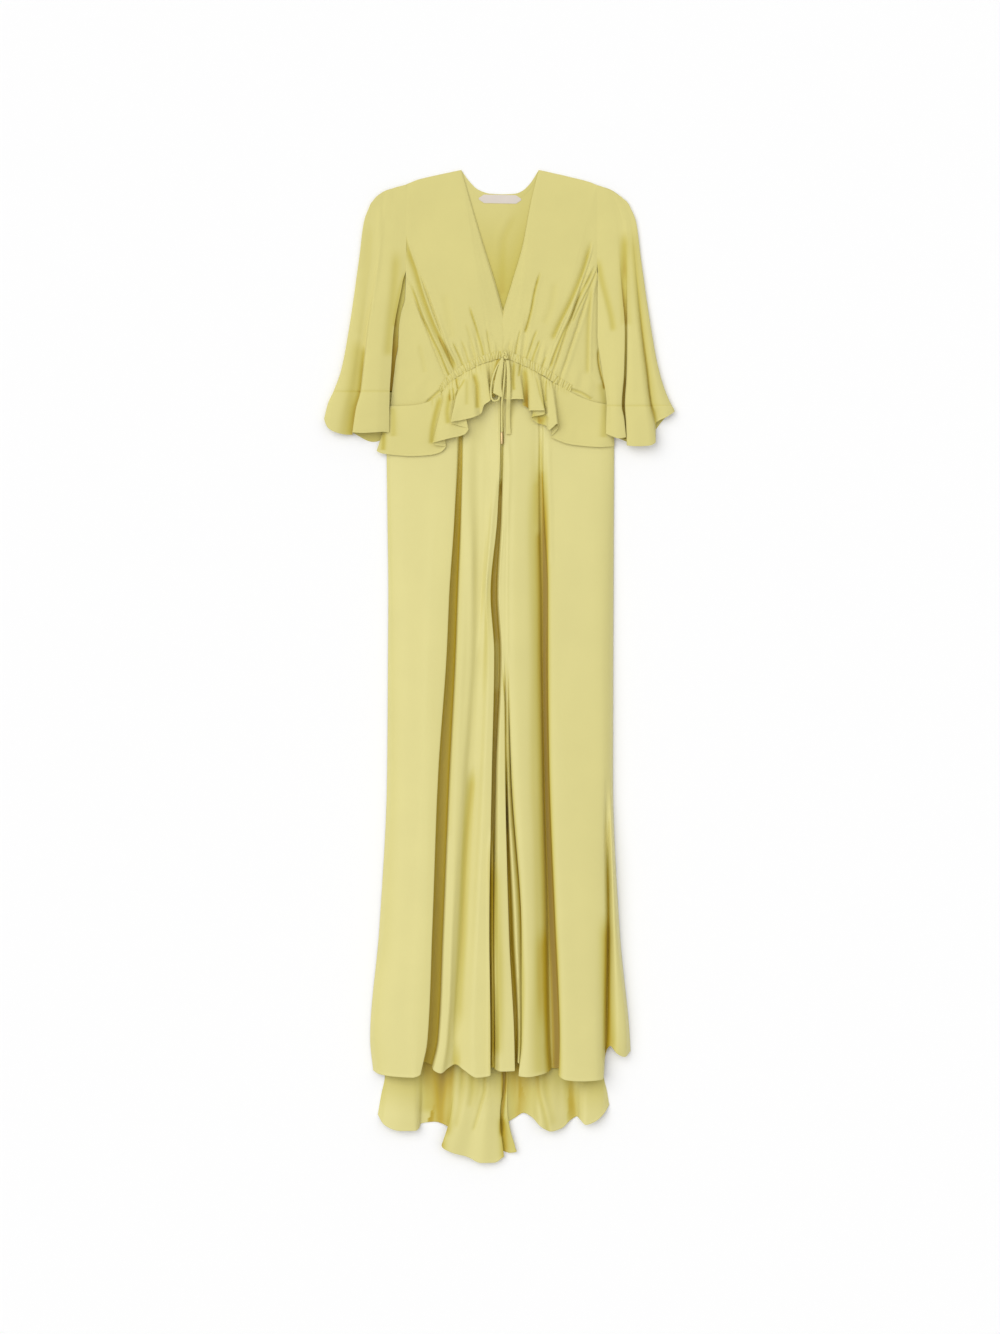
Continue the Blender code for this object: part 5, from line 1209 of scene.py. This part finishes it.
def flounce(side, rows, surface):
    """Half of the gathered flounce: it follows the skirt below it, then stands up in waves, with painted
    shade in its folds and gathers.
    """
    shares = shares_with_hem(*RUFFLE_ROWS)
    lines = []
    for ruffle in rows:
        across = ruffle.seam_across + (ruffle.hem_across - ruffle.seam_across) * shares
        top = ruffle.seam_down - RUFFLE_TUCK
        down = top + (ruffle.hem_down - top) * shares
        under = skirt_height(surface, across, down)
        height = under + RUFFLE_GAP + RUFFLE_LIFT * ruffle.rise * np.sqrt(shares)
        if ruffle.name == "centre":
            across = across - math.copysign(CLOSED_FRONT, ruffle.seam_across)
        lines.append(np.stack([across, down, height], axis=1))
    grid = fill_between(np.array(lines), CREPE_PITCH)
    # Painted shade in the flounce's folds
    grid[..., 3] = FLOUNCE_SHADE * valley_shade(grid, *FLOUNCE_VALLEY) * ease(shares, *RUFFLE_SHADE_FROM)
    from_seam = shares * np.linalg.norm(grid[:, -1, :2] - grid[:, 0, :2], axis=1)[:, None]
    press_gathers(grid, from_seam, FLOUNCE_GATHERS[side], 0)
    press_creases(grid, FLOUNCE_CREASES)
    grid[..., 2] += soft_waves(grid, FLOUNCE_WAVES[side]) * ease(shares, *RUFFLE_WAVES_FROM)
    turn_hem(grid)
    finish_cloth("flounce_" + side, grid, crepe, hem=True)


def armhole_height(rows, downs):
    """Height of the front bodice's outer face along its armhole."""
    outermost = max(abs(gather.top_across) for gather in rows)
    edge = [gather for gather in rows if outermost - abs(gather.top_across) < ARMHOLE_REACH]
    heights = read_pairs([(gather.top_down, gather.top_height) for gather in edge], downs)
    return heights + ARMHOLE_LIFT + SHELL


def sleeve_lines(side, rows, side_edge, bodice_rows, in_cuff, shares):
    """Lines of a flattened sleeve tube down to the cuff's seam, or those of the cuff down to its hem."""
    cuff = CUFF_DOWN[side]
    armpit = ARMPIT_DOWN[side]
    lines = []
    for fold in rows:
        flare_down = cuff + FLARE_AT * (fold.hem_down - cuff)
        flare_across = fold.at_cuff + FLARE * (fold.hem_across - fold.at_cuff)
        spots = [fold.top_down, *SLEEVE_LEVELS, cuff, flare_down, fold.hem_down]
        values = [fold.top_across, fold.at_85, fold.at_145, fold.at_271, fold.at_331, fold.at_cuff,
                  flare_across, fold.hem_across]
        from_down = cuff - SEAM_LAP if in_cuff else fold.top_down
        to_down = fold.hem_down if in_cuff else cuff + SEAM_LAP
        downs = from_down + (to_down - from_down) * shares
        across = smooth_curve(spots, values, downs)
        height = np.zeros(len(shares))
        if fold.name == "back_inner":
            beside = side_across(side_edge, downs) + math.copysign(SLEEVE_GAP, across[0])
            across = np.where(downs < side_edge[-1][1], beside, across)
        if not fold.name.startswith("back"):
            drop = (SLEEVE_LIFT + WALL - SLEEVE_HEAD) * ease(downs, *SLEEVE_HEAD_ENDS)
            height = BACK_TOP + SLEEVE_HEAD + drop + fold.rise * read_profile(SLEEVE_SWELL, downs)
        if fold.name == "inner_edge":
            joined = 1 - ease(downs, armpit - ABOVE_ARMPIT, armpit + BELOW_ARMPIT)
            sewn_across = side_across(side_edge, downs) - math.copysign(SEAM_LAP, across[0])
            across = across + (sewn_across - across) * joined
            sewn_height = armhole_height(bodice_rows, downs) + SLEEVE_ON_BODICE
            height = height + (sewn_height - height) * joined
        lines.append(np.stack([across, downs, height], axis=1))
    if side == "right":
        lines.reverse()
    return np.array(lines)


def sleeve(side, rows, side_edge, bodice_rows, creases):
    """A flattened sleeve and the cuff flounce sewn to it, each one tube folded at its outer edge, with
    painted shade in its folds, along its seam and on the inside where it shows.
    """
    shares = np.linspace(0, 1, SLEEVE_ROWS[0])
    cuff_shares = shares_with_hem(*CUFF_ROWS)
    upper = fill_between(sleeve_lines(side, rows, side_edge, bodice_rows, False, shares), CREPE_PITCH)
    lower = fill_between(sleeve_lines(side, rows, side_edge, bodice_rows, True, cuff_shares), CREPE_PITCH)
    tubes = ((upper, INSIDE_SLEEVE_SHADE, (1 - shares) * SLEEVE_ROWS[1], SLEEVE_SEAM_WIDTH),
             (lower, INSIDE_CUFF_SHADE, cuff_shares * CUFF_ROWS[1], CUFF_SEAM_WIDTH))
    for grid, inside, from_seam, seam_width in tubes:
        front = grid[..., 2].max(axis=1) > SLEEVE_FRONT_ABOVE
        front_down = grid[front, :, 1]
        swell = np.maximum(read_profile(SLEEVE_SWELL, front_down), LEAST_SLEEVE_SWELL)
        # Painted shade in the folds of the tube's front layer
        shade = SLEEVE_SHADE * valley_shade(grid[front], *SLEEVE_VALLEY, swell)
        grid[front, :, 3] = shade * ease(front_down, *SLEEVE_SHADE_FROM[side])
        # Painted shade on the tube's back layer, seen in the gap under the arm and below the cuff's hem
        down = grid[~front, :, 1]
        grid[~front, :, 3] = inside * sum(part * ease(down, start, end) for part, start, end in INSIDE_SHADE_STEPS)
        grid[..., 2] += soft_waves(grid, SLEEVE_WAVES[side]) * (grid[..., 2] > SOFT_ABOVE)
        press_creases(grid, creases)
        # A dip along the seam, with painted shade in it
        seam = np.exp(-(from_seam / seam_width) ** 2)
        grid[..., 2] = np.maximum(grid[..., 2] - SEAM_DIP * seam, 0)
        grid[..., 3] += SEAM_SHADE * seam
    finish_cloth("sleeve_" + side, upper, crepe, from_outside=True)
    finish_cloth("cuff_" + side, lower, crepe, from_outside=True, hem=True)


def label():
    """The woven label inside the back neck, with pointed ends and a slight tilt."""
    places = np.linspace(LABEL_LEFT, LABEL_RIGHT, LABEL_GRID[0])
    share = np.linspace(-1, 1, LABEL_GRID[1])
    from_end = np.minimum(places - LABEL_LEFT, LABEL_RIGHT - places)
    half = (LABEL_BOTTOM - LABEL_TOP) / 2 * np.clip(LABEL_END_SHARE + from_end / LABEL_POINT, 0, 1)
    middle = (LABEL_TOP + LABEL_BOTTOM) / 2 + LABEL_TILT * (places - (LABEL_LEFT + LABEL_RIGHT) / 2)
    across = places[:, None] + 0 * share
    ripple = LABEL_RIPPLE * np.sin(across / LABEL_RIPPLE_LENGTH)
    height = LABEL_LIFT + LABEL_BOW * np.cos(share * math.pi / 2) + ripple
    grid = np.stack([across, middle[:, None] + half[:, None] * share, height, 0 * across], axis=2)
    finish_cloth("label", grid, label_white, shell=LABEL_SHELL)


def smooth_route(route, spacing):
    """Evenly spaced points on a smooth curve through a route."""
    points = np.array(route, float)
    along = run_along(points)
    wanted = np.linspace(0, along[-1], max(3, round(along[-1] / spacing) + 1))
    return np.stack([smooth_curve(along, points[:, axis], wanted) for axis in range(3)], axis=1)


def cord_curve(name, node, points, radius, ring=False):
    """A round tube of self cloth through its points, with closed ends or as a ring."""
    curve = bpy.data.curves.new(name, "CURVE")
    curve.dimensions = "3D"
    curve.bevel_depth = radius * MM
    curve.bevel_resolution = CORD_ROUNDNESS
    curve.use_fill_caps = not ring
    spline = curve.splines.new("POLY")
    spline.points.add(len(points) - 1)
    for spot, point in zip(spline.points, points):
        spot.co = (*point, 1.0)
    spline.use_cyclic_u = ring
    curve.materials.append(crepe_cord)
    made = bpy.data.objects.new(name, curve)
    bpy.context.collection.objects.link(made)
    put_on(made, node)
    return made


def round_cord(name, node, route):
    """A round cord along a route, and its points."""
    points = to_world(smooth_route(route, CORD_PITCH))
    return cord_curve(name, node, points, CORD_RADIUS), points


def knot():
    """The drawstring's knot: the cord wound over and under itself and pulled tight."""
    t = np.linspace(0, 2 * math.pi, KNOT_POINTS + 1)[:-1]
    wound = np.stack([(np.sin(t) + 2 * np.sin(2 * t)) / 3, (np.cos(t) - 2 * np.cos(2 * t)) / 3,
                      -np.sin(3 * t)], axis=1)
    points = np.array(KNOT_CENTRE) + (np.array(KNOT_HALF) - KNOT_INSET) * wound
    cord_curve("drawstring_knot_cloth", "drawstring_knot", to_world(points), KNOT_CORD_RADIUS, ring=True)


def with_no_shade(lines):
    """Lines of points with a column of zeros for the painted shade of folds, which these pieces don't have.
    """
    lines = np.array(lines)
    return np.concatenate([lines, np.zeros((*lines.shape[:2], 1))], axis=2)


def flat_tie(route):
    """The flat end of the drawstring, a pressed tube of cloth that widens towards its tip."""
    points = smooth_route(route, TIE_PITCH)
    widths = np.linspace(TIE_ROOT_SHARE, TIE_TIP_SHARE, len(points)) * TIE_WIDTH
    lines = []
    for side in np.linspace(-0.5, 0.5, TIE_LINES):
        line = points.copy()
        line[:, 0] += side * widths
        line[:, 2] += TIE_BOW * (1 - (2 * side) ** 2) + TIE_RIPPLE * np.cos(side * TIE_RIPPLES)
        lines.append(line)
    return finish_cloth("drawstring_end_right", with_no_shade(lines), crepe), to_world(points)


def loop_flap():
    """The folded front of the drawstring's loop, a flat triangle of cloth that widens towards its bend."""
    edges = [smooth_route(edge, TIE_PITCH) for edge in (FLAP_LEFT_EDGE, FLAP_RIGHT_EDGE)]
    count = min(len(edge) for edge in edges)
    left, right = (edge[np.rint(np.linspace(0, len(edge) - 1, count)).astype(int)] for edge in edges)
    lines = []
    for share in np.linspace(0, 1, FLAP_LINES):
        line = left * (1 - share) + right * share
        line[:, 2] += FLAP_BULGE * (1 - (2 * share - 1) ** 2)
        lines.append(line)
    return finish_cloth("drawstring_loop", with_no_shade(lines), crepe)


def aglet():
    """The metal tip on the round end of the drawstring, with a rounded rim."""
    across, down, height = LEFT_END_ROUTE[-1]
    bpy.ops.object.select_all(action="DESELECT")
    place = to_world((across - AGLET_LEAN / 2, down + AGLET_GAP + AGLET_LENGTH / 2, height))
    bpy.ops.mesh.primitive_cylinder_add(vertices=AGLET_SIDES, radius=AGLET_RADIUS * MM,
                                        depth=AGLET_LENGTH * MM, location=tuple(place),
                                        rotation=(math.pi / 2, 0, 0))
    made = bpy.context.active_object
    made.name = "drawstring_tip_metal"
    bpy.ops.object.transform_apply(location=True, rotation=True, scale=True)
    bevel = made.modifiers.new("Edge", "BEVEL")
    bevel.width = AGLET_ROUNDING * MM
    bevel.segments = AGLET_ROUNDING_STEPS
    bevel.limit_method = "ANGLE"
    bpy.ops.object.modifier_apply(modifier=bevel.name)
    bpy.ops.object.shade_smooth_by_angle(angle=math.radians(METAL_SMOOTH_ANGLE))
    made.data.materials.append(gold)
    put_on(made, "drawstring_tip")
    return made


def set_inputs(node, settings):
    """Sets the inputs of a node by their names."""
    for name, value in settings.items():
        node.inputs[name].default_value = value


def new_material(name, colour, settings):
    """A material of one colour with the settings of its shader."""
    material = bpy.data.materials.new(name)
    material.use_nodes = True
    shader = material.node_tree.nodes["Principled BSDF"]
    set_inputs(shader, {"Base Color": (*colour, 1.0), **settings})
    return material, shader


def math_node(tree, operation, first, second=None):
    """A Math node fed by sockets or numbers; returns its result."""
    made = tree.nodes.new("ShaderNodeMath")
    made.operation = operation
    for socket, value in zip(made.inputs, (first, second)):
        if value is None:
            continue
        if isinstance(value, (int, float)):
            socket.default_value = value
        else:
            tree.links.new(value, socket)
    return made.outputs["Value"]


def fade_node(tree, value, start, end):
    """1 where the value is below start, 0 where it is above end."""
    made = tree.nodes.new("ShaderNodeMapRange")
    set_inputs(made, {"From Min": start, "From Max": end, "To Min": 1.0, "To Max": 0.0})
    tree.links.new(value, made.inputs["Value"])
    return made.outputs["Result"]


def noise_node(tree, source, scale, detail):
    """Noise read at the places of a source."""
    made = tree.nodes.new("ShaderNodeTexNoise")
    set_inputs(made, {"Scale": scale, "Detail": detail})
    tree.links.new(source, made.inputs["Vector"])
    return made.outputs["Fac"]


def yarn_noise(tree, source, scale):
    """Noise drawn out along one way, as the yarns of a weave are."""
    place = tree.nodes.new("ShaderNodeMapping")
    set_inputs(place, {"Scale": scale})
    tree.links.new(source, place.inputs["Vector"])
    return noise_node(tree, place.outputs["Vector"], 1.0, YARN_DETAIL)


def stored(tree, name):
    """A value that is kept on the mesh."""
    made = tree.nodes.new("ShaderNodeAttribute")
    made.attribute_name = name
    return made.outputs["Fac"]


def mix_node(tree, share, colour, other):
    """The colour where share is 0, the other one where it is 1."""
    made = tree.nodes.new("ShaderNodeMix")
    made.data_type = "RGBA"
    factor, first, second = (made.inputs[index] for index in COLOUR_SOCKETS)
    second.default_value = (*other, 1.0)
    tree.links.new(share, factor)
    tree.links.new(colour, first)
    return made.outputs[COLOUR_RESULT]


def stitches(tree, across):
    """1 on the thread of the hem's stitches, by the way across the cloth and the gap from the hem's edge."""
    off_line = math_node(tree, "SUBTRACT", stored(tree, "hem_gap"), STITCH_FROM_EDGE)
    on_line = fade_node(tree, math_node(tree, "ABSOLUTE", off_line), *THREAD_EDGE)
    turn = math_node(tree, "FRACT", math_node(tree, "DIVIDE", across, STITCH_LENGTH * MM))
    off_middle = math_node(tree, "ABSOLUTE", math_node(tree, "SUBTRACT", turn, 0.5))
    return math_node(tree, "MULTIPLY", on_line, fade_node(tree, off_middle, *THREAD_END))


def woven(name, colours, weave, settings, on_uv=True):
    """A cloth material: yarns both ways in its bump, a slight drift of colour, and painted shade in folds."""
    colour, half_shade_colour, deep_shade_colour, darkest_shade_colour = colours
    material, shader = new_material(name, colour, settings)
    tree = material.node_tree
    place = tree.nodes.new("ShaderNodeTexCoord")
    source = place.outputs["UV" if on_uv else "Object"]
    warp = yarn_noise(tree, source, (weave.across, weave.along * YARN_RUN, weave.along * YARN_RUN))
    weft = yarn_noise(tree, source, (weave.across * YARN_RUN, weave.along, weave.along))
    height = math_node(tree, "ADD", warp, weft)
    tint = tree.nodes.new("ShaderNodeValToRGB")
    for element, edge, change in zip(tint.color_ramp.elements, DRIFT_EDGES, (-weave.mottle, weave.mottle)):
        element.position = edge
        element.color = (*[min(channel * (1 + change), 1.0) for channel in colour], 1.0)
    drift = noise_node(tree, place.outputs["Object"], DRIFT_SCALE, DRIFT_DETAIL)
    tree.links.new(drift, tint.inputs["Fac"])
    base = tint.outputs["Color"]
    if on_uv:
        split = tree.nodes.new("ShaderNodeSeparateXYZ")
        tree.links.new(source, split.inputs["Vector"])
        thread = math_node(tree, "MULTIPLY", stitches(tree, split.outputs["X"]), STITCH_HEIGHT)
        height = math_node(tree, "ADD", height, thread)
        # The painted shade of the folds, read from the mesh, mixes the colour towards the three shade colours
        depth = stored(tree, "painted_fold_shade")
        steps = ((0.0, 0.5, half_shade_colour), (0.5, 1.0, deep_shade_colour), (1.0, DARKEST_SHADE, darkest_shade_colour))
        for start, end, painted_shade_colour in steps:
            share = math_node(tree, "SUBTRACT", 1.0, fade_node(tree, depth, start, end))
            base = mix_node(tree, share, base, painted_shade_colour)
    relief = tree.nodes.new("ShaderNodeBump")
    set_inputs(relief, {"Strength": weave.bump, "Distance": RELIEF})
    tree.links.new(height, relief.inputs["Height"])
    tree.links.new(relief.outputs["Normal"], shader.inputs["Normal"])
    tree.links.new(base, shader.inputs["Base Color"])
    return material


def sunlight(name, place, strength, softness):
    """A soft sun that shines from its place to the middle of the dress."""
    lamp = bpy.data.lights.new(name, "SUN")
    lamp.energy = strength
    lamp.angle = math.radians(softness)
    made = bpy.data.objects.new(name, lamp)
    bpy.context.collection.objects.link(made)
    made.location = place
    made.rotation_euler = (-Vector(place)).to_track_quat("-Z", "Y").to_euler()


# Camera: straight above the middle of the picture
scene = bpy.context.scene
camera = bpy.data.cameras.new("camera")
camera.lens = LENS
camera.sensor_fit = "VERTICAL"
camera.sensor_height = SENSOR
camera.sensor_width = SENSOR
camera.clip_end = FAR_CLIP
viewer = bpy.data.objects.new("camera", camera)
bpy.context.collection.objects.link(viewer)
camera_height = PICTURE_HEIGHT / 2 / (SENSOR / 2 / LENS) + PICTURE_LIFT
viewer.location = (*PICTURE_MIDDLE, camera_height)
scene.camera = viewer

# Materials
crepe = woven("lemon_crepe", LEMON_AND_PAINTED_SHADES, CREPE_WEAVE, CREPE_LOOK)
crepe_cord = woven("lemon_crepe_cord", LEMON_AND_PAINTED_SHADES, CORD_WEAVE, CORD_LOOK, on_uv=False)
satin = woven("lemon_satin", SATIN_LEMON_AND_PAINTED_SHADES, SATIN_WEAVE, SATIN_LOOK)
label_white = woven("woven_label", LABEL_WHITE_AND_PAINTED_SHADES, LABEL_WEAVE, LABEL_LOOK)
gold, _ = new_material("gold_tone_metal", GOLD, GOLD_LOOK)

# Cloth
bodice_back()
skirt_back("left", SKIRT_BACK_LEFT)
skirt_back("right", SKIRT_BACK_RIGHT)
label()
bodice_front("left", BODICE_LEFT)
bodice_front("right", BODICE_RIGHT)
skirt_front()
casing("left", BODICE_LEFT[BESIDE_CASING:])
casing("right", BODICE_RIGHT[:-BESIDE_CASING])
under_flounce = skirt_surface()
flounce("left", FLOUNCE_LEFT, under_flounce)
flounce("right", FLOUNCE_RIGHT, under_flounce)
sleeve("left", SLEEVE_LEFT, LEFT_SIDE, BODICE_LEFT, SLEEVE_LEFT_CREASES)
sleeve("right", SLEEVE_RIGHT, RIGHT_SIDE, BODICE_RIGHT, SLEEVE_RIGHT_CREASES)

# Drawstring
knot()
loop, loop_points = round_cord("drawstring_loop_cord", "drawstring_loop", LOOP_ROUTE)
flap = loop_flap()
end, end_points = round_cord("drawstring_end_left_cord", "drawstring_end_left", LEFT_END_ROUTE)
tip = aglet()
tie, tie_points = flat_tie(RIGHT_TIE_ROUTE)

# Floor, world and lights
bpy.ops.object.select_all(action="DESELECT")
bpy.ops.mesh.primitive_plane_add(size=FLOOR_SIZE, location=(0, 0, -FLOOR_DROP))
floor = bpy.context.active_object
floor.name = "floor"
floor_paint, _ = new_material("pale_floor", FLOOR_COLOUR, FLOOR_LOOK)
floor.data.materials.append(floor_paint)

world = bpy.data.worlds.new("studio")
world.use_nodes = True
set_inputs(world.node_tree.nodes["Background"], WORLD_LOOK)
scene.world = world
sunlight("key", KEY_PLACE, KEY_STRENGTH, KEY_SOFTNESS)
sunlight("fill", FILL_PLACE, FILL_STRENGTH, FILL_SOFTNESS)
scene.view_settings.view_transform = "Standard"
